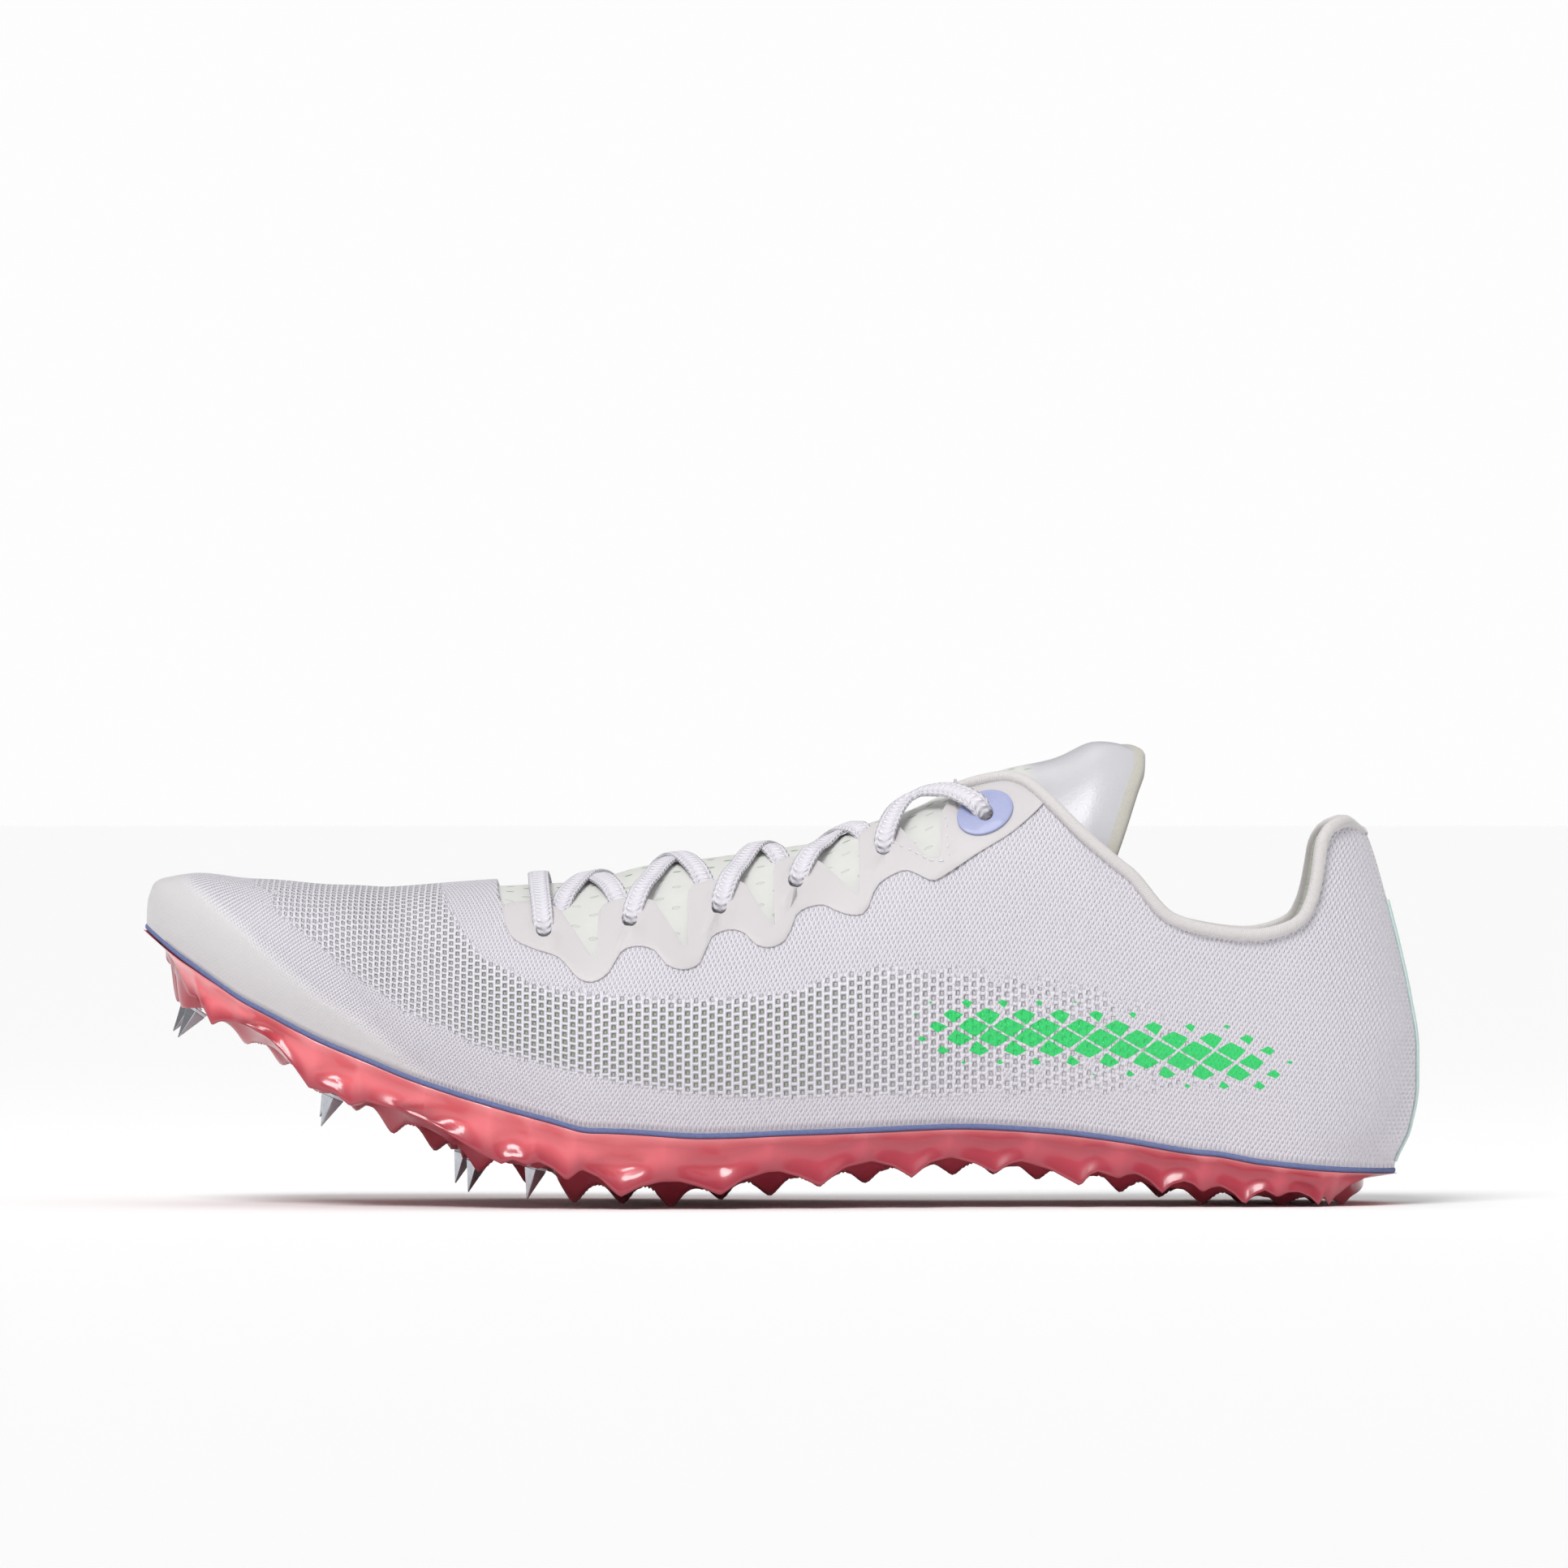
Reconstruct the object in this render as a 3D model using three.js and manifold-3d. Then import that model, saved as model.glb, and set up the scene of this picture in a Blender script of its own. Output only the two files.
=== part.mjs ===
// Track spike shoe for the left foot, standing empty on its sole.
// Millimetres, +Z up, toe toward -X, outer side of the foot toward -Y, z = 0 on the floor.
import * as THREE from "three";
import Module from "manifold-3d";

// Driving sizes of the whole shoe
const shoeLength = 283;
const ballWidth = 92;
const upperHeight = 90;
const toeSpring = 50;
const archRise = 7;

// Sole plate
const plateDepth = 17;
const plateFloor = 2;
const plateLip = 0.7;
const wallTaper = 1.6;
const wallDish = 0.8;
const toeUndercut = 5;
const heelUndercut = 7.5;
const lugPitch = 19.7;
const edgeLift = 3.2;
const heelEdgeStart = 0.8;
const heelEdgeFall = 12;
const heelEdgeShare = 0.2;
const tipTrim = 1.4;
const endHold = 1.4;
const edgeStart = 0.98;
const undercutToe = 0.06;
const undercutHeel = 0.08;
const wallBreak = 0.35;
const wallBreakTaper = 0.2;
const wallBreakShift = 0.3;
const soleEndReach = 4;
const columnsAcross = 8;

// Lug pattern: distances from the toe of its first tip and of the end of the fine part, rows
// across, and the curve and the edge depth of the hollows
const lugStart = 128.3;
const fineEnd = 86;
const lugRows = 4;
const hollowCurve = 1.35;
const edgeHollow = 0.55;

// Spike pins and their seats
const pinLength = 6.8;
const pinRadius = 2.3;
const flangeRadius = 3;
const flangeThickness = 0.8;
const seatRadius = 3.9;
const seatFlare = 1.15;
const seatSides = 12;
const pinSides = 8;
const seatSpan = 0.02;

// Layers between the plate and the foot
const boardThickness = 1.2;
const boardProud = 0.3;
const insoleThickness = 3;

// Upper, its overlays and its edge
const wall = 1.3;
const filmThickness = 0.8;
const washerThickness = 0.6;
const washerLength = 12.9;
const washerWidth = 8.9;
const washerTilt = 25;
const eyeletRadius = 1.7;
const slitWidth = 0.9;
const bindingWidth = 3;
const bindingHeight = 2.8;
const tapeWidth = 11;
const tapeTop = 0.64;
const tapeFoot = 0.01;
const tongueThickness = 2.4;
const laceWidth = 3.5;
const laceThickness = 1.3;
const laceRest = 0.75;
const strandCeiling = 0.97;
const tabRounding = { along: 2, down: 1.5 };

// Clearance between pieces that lie on each other, and how far a face may lie off the exact shape
const gap = 0.3;
const faceTolerance = 0.12;

// Fineness of the outlines and sections: points, sides or millimetres
const collarSteps = 56;
const collarFineness = 10;
const filmSteps = 36;
const tongueSteps = 40;
const washerSteps = 24;
const eyeletSides = 10;
const bindingStep = 4.8;
const bindingSides = 6;
const laceSteps = 12;
const topStrandSteps = 14;
const lugSteps = 4;
const mergeScale = 5000;
const placeTurns = 12;
const crownTurns = 30;
const crownTop = 0.9995;
const frameStep = 0.004;

// Sole by stations from toe to heel: share of the length, underside height as shares of
// the toe spring and of the arch rise, and depth as a share of the plate depth
const soleSections = [
  { at: 0.0, spring: 1.0, arch: 0, depth: 0.64 },
  { at: 0.036, spring: 0.88, arch: 0, depth: 0.54 },
  { at: 0.071, spring: 0.75, arch: 0, depth: 0.53 },
  { at: 0.106, spring: 0.62, arch: 0, depth: 0.6 },
  { at: 0.141, spring: 0.49, arch: 0, depth: 0.69 },
  { at: 0.177, spring: 0.38, arch: 0, depth: 0.77 },
  { at: 0.212, spring: 0.28, arch: 0, depth: 0.83 },
  { at: 0.247, spring: 0.19, arch: 0, depth: 0.9 },
  { at: 0.283, spring: 0.12, arch: 0, depth: 0.93 },
  { at: 0.318, spring: 0.06, arch: 0, depth: 0.95 },
  { at: 0.355, spring: 0, arch: 0, depth: 0.98 },
  { at: 0.42, spring: 0, arch: 0, depth: 0.92 },
  { at: 0.46, spring: 0, arch: 0.2, depth: 0.83 },
  { at: 0.5, spring: 0, arch: 0.41, depth: 0.77 },
  { at: 0.57, spring: 0, arch: 0.77, depth: 0.66 },
  { at: 0.64, spring: 0, arch: 1, depth: 0.605 },
  { at: 0.704, spring: 0, arch: 0.83, depth: 0.62 },
  { at: 0.764, spring: 0, arch: 0.44, depth: 0.66 },
  { at: 0.835, spring: 0, arch: 0.04, depth: 0.645 },
  { at: 0.88, spring: 0, arch: 0, depth: 0.545 },
  { at: 0.93, spring: 0, arch: 0, depth: 0.465 },
  { at: 1.0, spring: 0, arch: 0, depth: 0.4 },
];

// Upper by stations: crown over the hem as a share of the upper height, middle line, half width
// and lean of the crown to the inner side as shares of the ball width, and the section's curve
const upperSections = [
  { at: 0.0, rise: 0.056, axis: 0.1, half: 0.33, lean: 0, slope: 2.2, round: 2.1 },
  { at: 0.005, rise: 0.106, axis: 0.096, half: 0.331, lean: 0, slope: 2.2, round: 2.1 },
  { at: 0.019, rise: 0.158, axis: 0.088, half: 0.335, lean: 0, slope: 2.2, round: 2.1 },
  { at: 0.04, rise: 0.214, axis: 0.075, half: 0.342, lean: 0, slope: 2.2, round: 2.1 },
  { at: 0.076, rise: 0.278, axis: 0.05, half: 0.357, lean: 0.005, slope: 2.1, round: 2.1 },
  { at: 0.115, rise: 0.334, axis: 0.03, half: 0.378, lean: 0.015, slope: 2, round: 2.1 },
  { at: 0.152, rise: 0.38, axis: 0.015, half: 0.4, lean: 0.025, slope: 1.95, round: 2.1 },
  { at: 0.19, rise: 0.425, axis: 0.0, half: 0.43, lean: 0.035, slope: 1.9, round: 2.1 },
  { at: 0.23, rise: 0.479, axis: -0.013, half: 0.462, lean: 0.04, slope: 1.8, round: 2.05 },
  { at: 0.268, rise: 0.525, axis: -0.02, half: 0.483, lean: 0.045, slope: 1.7, round: 2 },
  { at: 0.305, rise: 0.563, axis: -0.028, half: 0.495, lean: 0.045, slope: 1.6, round: 2 },
  { at: 0.363, rise: 0.622, axis: -0.046, half: 0.492, lean: 0.045, slope: 1.5, round: 2.05 },
  { at: 0.4, rise: 0.658, axis: -0.058, half: 0.475, lean: 0.045, slope: 1.45, round: 2.1 },
  { at: 0.44, rise: 0.679, axis: -0.067, half: 0.452, lean: 0.045, slope: 1.4, round: 2.15 },
  { at: 0.5, rise: 0.699, axis: -0.071, half: 0.418, lean: 0.045, slope: 1.4, round: 2.2 },
  { at: 0.535, rise: 0.714, axis: -0.068, half: 0.398, lean: 0.042, slope: 1.4, round: 2.25 },
  { at: 0.565, rise: 0.75, axis: -0.063, half: 0.383, lean: 0.04, slope: 1.4, round: 2.3 },
  { at: 0.6, rise: 0.782, axis: -0.056, half: 0.368, lean: 0.035, slope: 1.45, round: 2.35 },
  { at: 0.635, rise: 0.83, axis: -0.047, half: 0.354, lean: 0.03, slope: 1.45, round: 2.35 },
  { at: 0.675, rise: 0.883, axis: -0.037, half: 0.343, lean: 0.024, slope: 1.5, round: 2.4 },
  { at: 0.712, rise: 0.917, axis: -0.028, half: 0.338, lean: 0.018, slope: 1.55, round: 2.4 },
  { at: 0.745, rise: 0.975, axis: -0.02, half: 0.336, lean: 0.012, slope: 1.6, round: 2.4 },
  { at: 0.795, rise: 1.02, axis: -0.01, half: 0.335, lean: 0.004, slope: 1.7, round: 2.3 },
  { at: 0.85, rise: 1.07, axis: -0.005, half: 0.335, lean: 0, slope: 1.75, round: 2.2 },
  { at: 0.925, rise: 1.11, axis: -0.002, half: 0.333, lean: 0, slope: 1.8, round: 2.1 },
  { at: 1.0, rise: 1.13, axis: 0, half: 0.33, lean: 0, slope: 1.8, round: 2.1 },
];

// Back of the heel: how far it lies ahead of the rearmost point, by height over the hem
const heelProfile = [
  { height: -0.1, inset: 0.0205 },
  { height: 0.0, inset: 0.018 },
  { height: 0.09, inset: 0.006 },
  { height: 0.2, inset: 0.0 },
  { height: 0.29, inset: 0.0 },
  { height: 0.42, inset: 0.006 },
  { height: 0.55, inset: 0.015 },
  { height: 0.7, inset: 0.0275 },
  { height: 0.8, inset: 0.041 },
  { height: 0.95, inset: 0.062 },
  { height: 1.13, inset: 0.085 },
];

// Finished collar edge from the front of the throat to the heel tab, side view:
// share of the length and height over the hem as a share of the upper height
const collarLine = [
  { at: 0.637, height: 0.822 },
  { at: 0.655, height: 0.845 },
  { at: 0.677, height: 0.855 },
  { at: 0.702, height: 0.829 },
  { at: 0.719, height: 0.786 },
  { at: 0.741, height: 0.729 },
  { at: 0.764, height: 0.674 },
  { at: 0.782, height: 0.634 },
  { at: 0.801, height: 0.575 },
  { at: 0.829, height: 0.549 },
  { at: 0.857, height: 0.548 },
  { at: 0.88, height: 0.562 },
  { at: 0.899, height: 0.592 },
  { at: 0.91, height: 0.645 },
  { at: 0.914, height: 0.72 },
  { at: 0.918, height: 0.78 },
  { at: 0.929, height: 0.832 },
  { at: 0.944, height: 0.85 },
  { at: 0.962, height: 0.84 },
  { at: 0.99, height: 0.8 },
];

// Lacing tabs from the toe up, side view: the eyelet, the two top corners of the tab, and the
// notch behind it, then the scalloped lower edge of the film under the eyelet and the notch
const tabs = [
  {
    eyelet: { at: 0.309, height: 0.426 },
    front: { at: 0.289, height: 0.489 },
    back: { at: 0.326, height: 0.502 },
    notch: { at: 0.3565, height: 0.388 },
    crest: { at: 0.296, height: 0.41 },
    trough: { at: 0.354, height: 0.34 },
  },
  {
    eyelet: { at: 0.374, height: 0.498 },
    front: { at: 0.366, height: 0.553 },
    back: { at: 0.41, height: 0.578 },
    notch: { at: 0.426, height: 0.455 },
    crest: { at: 0.39, height: 0.442 },
    trough: { at: 0.4245, height: 0.385 },
  },
  {
    eyelet: { at: 0.4515, height: 0.53 },
    front: { at: 0.432, height: 0.6 },
    back: { at: 0.469, height: 0.607 },
    notch: { at: 0.494, height: 0.5 },
    crest: { at: 0.459, height: 0.484 },
    trough: { at: 0.493, height: 0.437 },
  },
  {
    eyelet: { at: 0.5115, height: 0.59 },
    front: { at: 0.492, height: 0.656 },
    back: { at: 0.53, height: 0.665 },
    notch: { at: 0.56, height: 0.57 },
    crest: { at: 0.525, height: 0.54 },
    trough: { at: 0.555, height: 0.51 },
  },
  {
    eyelet: { at: 0.581, height: 0.667 },
    front: { at: 0.563, height: 0.725 },
    back: { at: 0.598, height: 0.738 },
    notch: { at: 0.6235, height: 0.648 },
    crest: { at: 0.591, height: 0.622 },
    trough: { at: 0.618, height: 0.592 },
  },
];
const throatFront = { at: 0.28, height: 0.6 };
const topEyelet = { at: 0.6587, height: 0.733 };
const topFilmFront = { at: 0.6255, height: 0.76 };
const filmFoot = [
  { at: 0.637, height: 0.598 },
  { at: 0.665, height: 0.66 },
  { at: 0.69, height: 0.73 },
];
const filmHeel = { at: 0.704, height: 0.83 };
const filmToe = { at: 0.285, height: 0.455 };

// Lace from the last tab up over the throat edge and down to the top eyelet, side view
const topStrand = [
  { at: 0.581, height: 0.684 },
  { at: 0.588, height: 0.735 },
  { at: 0.597, height: 0.765 },
  { at: 0.613, height: 0.785 },
  { at: 0.632, height: 0.788 },
  { at: 0.65, height: 0.773 },
  { at: 0.6587, height: 0.752 },
];

// Rear edge of the tongue and the lower edge of its wings, side view
const tongueLine = [
  { at: 0.735, height: 1.02 },
  { at: 0.764, height: 1.0 },
  { at: 0.778, height: 0.95 },
  { at: 0.782, height: 0.9 },
  { at: 0.776, height: 0.82 },
  { at: 0.767, height: 0.73 },
  { at: 0.752, height: 0.67 },
  { at: 0.72, height: 0.64 },
  { at: 0.62, height: 0.575 },
  { at: 0.56, height: 0.505 },
  { at: 0.494, height: 0.44 },
  { at: 0.426, height: 0.395 },
  { at: 0.357, height: 0.335 },
  { at: 0.31, height: 0.35 },
  { at: 0.27, height: 0.42 },
  { at: 0.257, height: 0.48 },
  { at: 0.25, height: 0.56 },
];

// Spike pins: station, place across the sole (-1 outer edge, 1 inner edge) and the height
// of the seat over the line of the lug tips as a share of the plate depth
const pins = [
  { at: 0.042, across: -0.36, seat: 0.03 },
  { at: 0.036, across: 0.42, seat: 0.03 },
  { at: 0.152, across: -0.66, seat: 0.13 },
  { at: 0.146, across: 0.64, seat: 0.13 },
  { at: 0.262, across: 0.1, seat: 0.12 },
  { at: 0.25, across: 0.72, seat: 0.12 },
  { at: 0.31, across: -0.7, seat: 0.34 },
];

// Shape of the form shared by the upper and everything that lies on it
const footShare = 0.93;
const bellyHeight = 0.27;
const toeRound = 0.16;
const heelRound = 0.105;
const heelReach = 0.2;
const toeReach = 0.06;
const toeInset = 0.001;
const skirtDepth = 6;
const heelCurve = 1.5;
const formStations = 32;
const evenShare = 0.35;
const endStation = 0.0035;
const toeStations = [0, 0.0025, 0.0085];
const heelStations = [0.9915, 0.9975, 1];
const stationStart = 0.012;
const formLevels = [-1, 0, 0.1, 0.27, 0.44, 0.6, 0.74, 0.86, 0.94, 0.985, 1];

const wasm = await Module();
wasm.setup();

// Smooth monotone value of one column of a table at a place along it
function column(table, name, place, key = "at") {
  const last = table.length - 1;
  if (place <= table[0][key]) return table[0][name];
  if (place >= table[last][key]) return table[last][name];
  const index = table.findIndex((row) => row[key] > place) - 1;
  const slopeAfter = (i) => (table[i + 1][name] - table[i][name]) / (table[i + 1][key] - table[i][key]);
  const tangent = (i) => {
    if (i === 0) return slopeAfter(0);
    if (i === last) return slopeAfter(last - 1);
    const before = slopeAfter(i - 1);
    const after = slopeAfter(i);
    return before * after <= 0 ? 0 : (2 * before * after) / (before + after);
  };
  const span = table[index + 1][key] - table[index][key];
  const t = (place - table[index][key]) / span;
  const square = t * t;
  const cube = square * t;
  return (
    (2 * cube - 3 * square + 1) * table[index][name] +
    (cube - 2 * square + t) * span * tangent(index) +
    (3 * square - 2 * cube) * table[index + 1][name] +
    (cube - square) * span * tangent(index + 1)
  );
}

function groundHeight(at) {
  return toeSpring * column(soleSections, "spring", at) + archRise * column(soleSections, "arch", at);
}

function plateTop(at) {
  return groundHeight(at) + plateDepth * column(soleSections, "depth", at);
}

function boardTop(at) {
  return plateTop(at) + gap + boardThickness;
}

function hemHeight(at) {
  return boardTop(at) + gap;
}

// Rounding of the outline toward the toe and the heel, 1 in between
function endRound(at) {
  const toe = Math.max(0, 1 - at / toeRound);
  const heel = Math.max(0, 1 - (1 - at) / heelRound);
  return Math.sqrt(1 - toe * toe) * Math.sqrt(1 - heel * heel);
}

// Width of a section at a height, as a share of its widest place
function girth(at, height) {
  if (height <= bellyHeight) {
    const share = Math.max(0, height) / bellyHeight;
    return footShare + (1 - footShare) * Math.sin((share * Math.PI) / 2);
  }
  const climb = Math.min(1, (height - bellyHeight) / (1 - bellyHeight));
  const slope = column(upperSections, "slope", at);
  return Math.pow(1 - Math.pow(climb, slope), 1 / column(upperSections, "round", at));
}

function riseAt(at) {
  return upperHeight * column(upperSections, "rise", at);
}

// Distance from the toe of a point of the form, by station and height over the hem
function lengthwise(at, overHem) {
  const heelFade = Math.pow(Math.max(0, 1 - (1 - at) / heelReach), heelCurve);
  const toeFade = Math.pow(Math.max(0, 1 - at / toeReach), 2);
  const inset = column(heelProfile, "inset", overHem / upperHeight, "height");
  const lift = Math.min(1, Math.max(0, overHem / riseAt(0)));
  return shoeLength * (at - heelFade * inset + toeFade * toeInset * lift * lift);
}

// Point of the form: side -1 outer, 1 inner; height 0 at the hem, 1 at the crown, -1 at the skirt
function formPoint(at, side, height) {
  const overHem = height < 0 ? skirtDepth * height : riseAt(at) * height;
  const half = column(upperSections, "half", at) * endRound(at) * girth(at, height);
  const lean = column(upperSections, "lean", at) * Math.max(0, height) ** 2;
  return new THREE.Vector3(
    lengthwise(at, overHem) - shoeLength / 2,
    ballWidth * (column(upperSections, "axis", at) + lean + side * half),
    hemHeight(at) + overHem,
  );
}

// Closed surface through rings of equally many points; meeting points become one
function loft(rings) {
  const vertices = [];
  const places = new Map();
  const register = (point) => {
    const key = point.toArray().map((value) => Math.round(value * mergeScale)).join();
    if (!places.has(key)) {
      places.set(key, vertices.length);
      vertices.push(point);
    }
    return places.get(key);
  };
  const grid = rings.map((ring) => ring.map(register));
  const triangles = [];
  const addTriangle = (a, b, c) => {
    if (a !== b && b !== c && c !== a) triangles.push([a, b, c]);
  };
  for (let i = 0; i + 1 < grid.length; i += 1) {
    const count = grid[i].length;
    for (let j = 0; j < count; j += 1) {
      const next = (j + 1) % count;
      addTriangle(grid[i][j], grid[i + 1][j], grid[i + 1][next]);
      addTriangle(grid[i][j], grid[i + 1][next], grid[i][next]);
    }
  }
  const closeEnd = (ring, forward) => {
    for (let j = 1; j + 1 < ring.length; j += 1) {
      if (forward) addTriangle(ring[0], ring[j], ring[j + 1]);
      else addTriangle(ring[0], ring[j + 1], ring[j]);
    }
  };
  if (new Set(grid[0]).size === grid[0].length) {
    closeEnd(grid[0], true);
    closeEnd(grid[grid.length - 1], false);
  }
  return { vertices, triangles };
}

function signedVolume({ vertices, triangles }) {
  const cross = new THREE.Vector3();
  return triangles.reduce(
    (sum, [a, b, c]) => sum + vertices[a].dot(cross.crossVectors(vertices[b], vertices[c])) / 6,
    0,
  );
}

function toSolid(surface) {
  const turned = signedVolume(surface) < 0;
  const order = surface.triangles.map(([a, b, c]) => (turned ? [a, c, b] : [a, b, c]));
  return new wasm.Manifold(
    new wasm.Mesh({
      numProp: 3,
      vertProperties: new Float32Array(surface.vertices.flatMap((point) => point.toArray())),
      triVerts: new Uint32Array(order.flat()),
    }),
  );
}

function toGeometry(solid) {
  const mesh = solid.simplify(faceTolerance).getMesh();
  const geometry = new THREE.BufferGeometry();
  geometry.setAttribute("position", new THREE.BufferAttribute(mesh.vertProperties, 3));
  geometry.setIndex(new THREE.BufferAttribute(mesh.triVerts, 1));
  geometry.computeVertexNormals();
  return geometry;
}

// Stations packed closer toward the two ends
function formShares() {
  const shares = Array.from({ length: formStations + 1 }, (_, i) => {
    const even = i / formStations;
    return evenShare * even + (1 - evenShare) * (0.5 - 0.5 * Math.cos(Math.PI * even));
  });
  return [0, endStation, ...shares.slice(1, -1), 1 - endStation, 1];
}

// The form as a surface, with the outward direction at each vertex
function makeForm() {
  const rings = formShares().map((at) => {
    const outer = formLevels.map((height) => formPoint(at, -1, height));
    const inner = formLevels.slice(0, -1).reverse().map((height) => formPoint(at, 1, height));
    return [...outer, ...inner];
  });
  const surface = loft(rings);
  const turn = signedVolume(surface) < 0 ? -1 : 1;
  const normals = surface.vertices.map(() => new THREE.Vector3());
  for (const [a, b, c] of surface.triangles) {
    const first = new THREE.Vector3().subVectors(surface.vertices[b], surface.vertices[a]);
    const second = new THREE.Vector3().subVectors(surface.vertices[c], surface.vertices[a]);
    const area = first.cross(second).multiplyScalar(turn);
    [a, b, c].forEach((corner) => normals[corner].add(area));
  }
  normals.forEach((normal) => normal.normalize());
  return { ...surface, normals };
}

const form = makeForm();

function formSolid(offset) {
  const vertices = form.vertices.map((point, i) => point.clone().addScaledVector(form.normals[i], offset));
  return toSolid({ vertices, triangles: form.triangles });
}

// Layer of the form between two distances from it
function layer(inside, outside) {
  return formSolid(outside).subtract(formSolid(inside));
}

// Place in the side view of a row with a station and a height over the hem
function sidePlace({ at, height }) {
  const overHem = height * upperHeight;
  return new THREE.Vector2(lengthwise(at, overHem) - shoeLength / 2, hemHeight(at) + overHem);
}

function flatPlace({ at, height }) {
  return new THREE.Vector2(shoeLength * (at - 0.5), hemHeight(Math.min(1, at)) + height * upperHeight);
}

// Prism through the shoe from a closed outline in the side view
function sidePrism(outline, from = -ballWidth, to = ballWidth) {
  const shape = new THREE.Shape(THREE.ShapeUtils.isClockWise(outline) ? [...outline].reverse() : outline);
  const geometry = new THREE.ExtrudeGeometry(shape, { depth: to - from, bevelEnabled: false });
  geometry.rotateX(Math.PI / 2);
  geometry.translate(0, to, 0);
  return toSolid(mergedSurface(geometry));
}

function mergedSurface(geometry) {
  const position = geometry.getAttribute("position");
  const loose = Array.from({ length: position.count }, (_, i) => i);
  const corners = geometry.index ? Array.from(geometry.index.array) : loose;
  const places = new Map();
  const vertices = [];
  const merged = corners.map((corner) => {
    const point = new THREE.Vector3().fromBufferAttribute(position, corner);
    const key = point.toArray().map((value) => Math.round(value * mergeScale)).join();
    if (!places.has(key)) {
      places.set(key, vertices.length);
      vertices.push(point);
    }
    return places.get(key);
  });
  const triangles = [];
  for (let i = 0; i < merged.length; i += 3) {
    const [a, b, c] = merged.slice(i, i + 3);
    if (a !== b && b !== c && c !== a) triangles.push([a, b, c]);
  }
  return { vertices, triangles };
}

function smoothLine(places, count) {
  const curve = new THREE.SplineCurve(places);
  return curve.getSpacedPoints(count);
}

// Line moved sideways in the side view, to the right of its direction for a positive distance
function shiftedLine(points, distance) {
  return points.map((point, i) => {
    const before = points[Math.max(0, i - 1)];
    const after = points[Math.min(points.length - 1, i + 1)];
    const along = new THREE.Vector2().subVectors(after, before).normalize();
    return new THREE.Vector2(point.x + along.y * distance, point.y - along.x * distance);
  });
}

const skyHeight = 3 * upperHeight;
const ridgeMargin = 1;
const pitHeight = -upperHeight;

function hemLine() {
  return formShares().map((at) => new THREE.Vector2(lengthwise(at, 0) - shoeLength / 2, hemHeight(at)));
}

// Everything between two heights over the hem, seen from the side
function hemBand(low, high) {
  const line = hemLine();
  const first = line[0];
  const last = line[line.length - 1];
  const reach = [
    new THREE.Vector2(first.x - ballWidth, first.y),
    ...line,
    new THREE.Vector2(last.x + ballWidth, last.y),
  ];
  const lower = reach.map((point) => new THREE.Vector2(point.x, point.y + low));
  const upper = reach.map((point) => new THREE.Vector2(point.x, point.y + high));
  return sidePrism([...lower, ...upper.reverse()]);
}

function collarEdge() {
  return smoothLine(collarLine.map(flatPlace), collarSteps);
}

// Rounded tab top and straight notch behind each tab, from the toe up to the collar
function throatEdge() {
  const line = [sidePlace(throatFront)];
  for (const tab of tabs) {
    const front = sidePlace(tab.front);
    const back = sidePlace(tab.back);
    const notch = sidePlace(tab.notch);
    const rounding = new THREE.Vector2(slitWidth * tabRounding.along, -slitWidth * tabRounding.down);
    line.push(
      new THREE.Vector2(front.x, front.y + rounding.y),
      new THREE.Vector2(front.x + rounding.x, front.y),
      new THREE.Vector2(back.x - rounding.x, back.y),
      new THREE.Vector2(back.x, back.y + rounding.y),
      new THREE.Vector2(notch.x - slitWidth / 2, notch.y),
      new THREE.Vector2(notch.x + slitWidth / 2, notch.y),
    );
  }
  line.push(sidePlace(topFilmFront));
  return line;
}

// The whole top opening, by how far the finished collar edge is cut back
function topOpening(cutBack) {
  const collar = shiftedLine(collarEdge(), cutBack);
  const throat = throatEdge();
  const first = throat[0];
  const last = collar[collar.length - 1];
  return sidePrism([
    ...throat,
    ...collar,
    new THREE.Vector2(last.x + ballWidth, last.y),
    new THREE.Vector2(last.x + ballWidth, skyHeight),
    new THREE.Vector2(first.x, skyHeight),
  ]);
}

function roundHole(place, radius, from, to) {
  const geometry = new THREE.CylinderGeometry(radius, radius, to - from, eyeletSides);
  geometry.translate(place.x, (from + to) / 2, place.y);
  return toSolid(mergedSurface(geometry));
}

function eyeletHoles() {
  const lift = new THREE.Vector2(0, eyeletRadius);
  const places = [...tabs.map((tab) => tab.eyelet), topEyelet].map(sidePlace);
  return places
    .map((place) => roundHole(place.add(lift), eyeletRadius, -ballWidth, ballWidth))
    .reduce((all, hole) => all.add(hole));
}

function makeUpper() {
  return layer(-wall, 0)
    .intersect(hemBand(0, skyHeight))
    .subtract(topOpening(bindingHeight + gap))
    .subtract(eyeletHoles());
}

// One side of the shoe, from just beside its middle outward
function sideReach(side) {
  return side < 0 ? [-ballWidth, -ridgeMargin] : [ridgeMargin, ballWidth];
}

// Film that carries the eyelets: scalloped below, with free tabs above
function filmOutline() {
  const scallops = [sidePlace(filmToe)];
  for (const tab of tabs) scallops.push(sidePlace(tab.crest), sidePlace(tab.trough));
  filmFoot.forEach((row) => scallops.push(sidePlace(row)));
  const lower = smoothLine(scallops, filmSteps);
  const heel = sidePlace(filmHeel);
  return [
    ...lower,
    heel,
    new THREE.Vector2(heel.x, skyHeight),
    new THREE.Vector2(lower[0].x, skyHeight),
  ];
}

function makeFilm(side) {
  return layer(gap, gap + filmThickness)
    .intersect(sidePrism(filmOutline(), ...sideReach(side)))
    .subtract(topOpening(bindingHeight + gap))
    .subtract(eyeletHoles());
}

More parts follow.
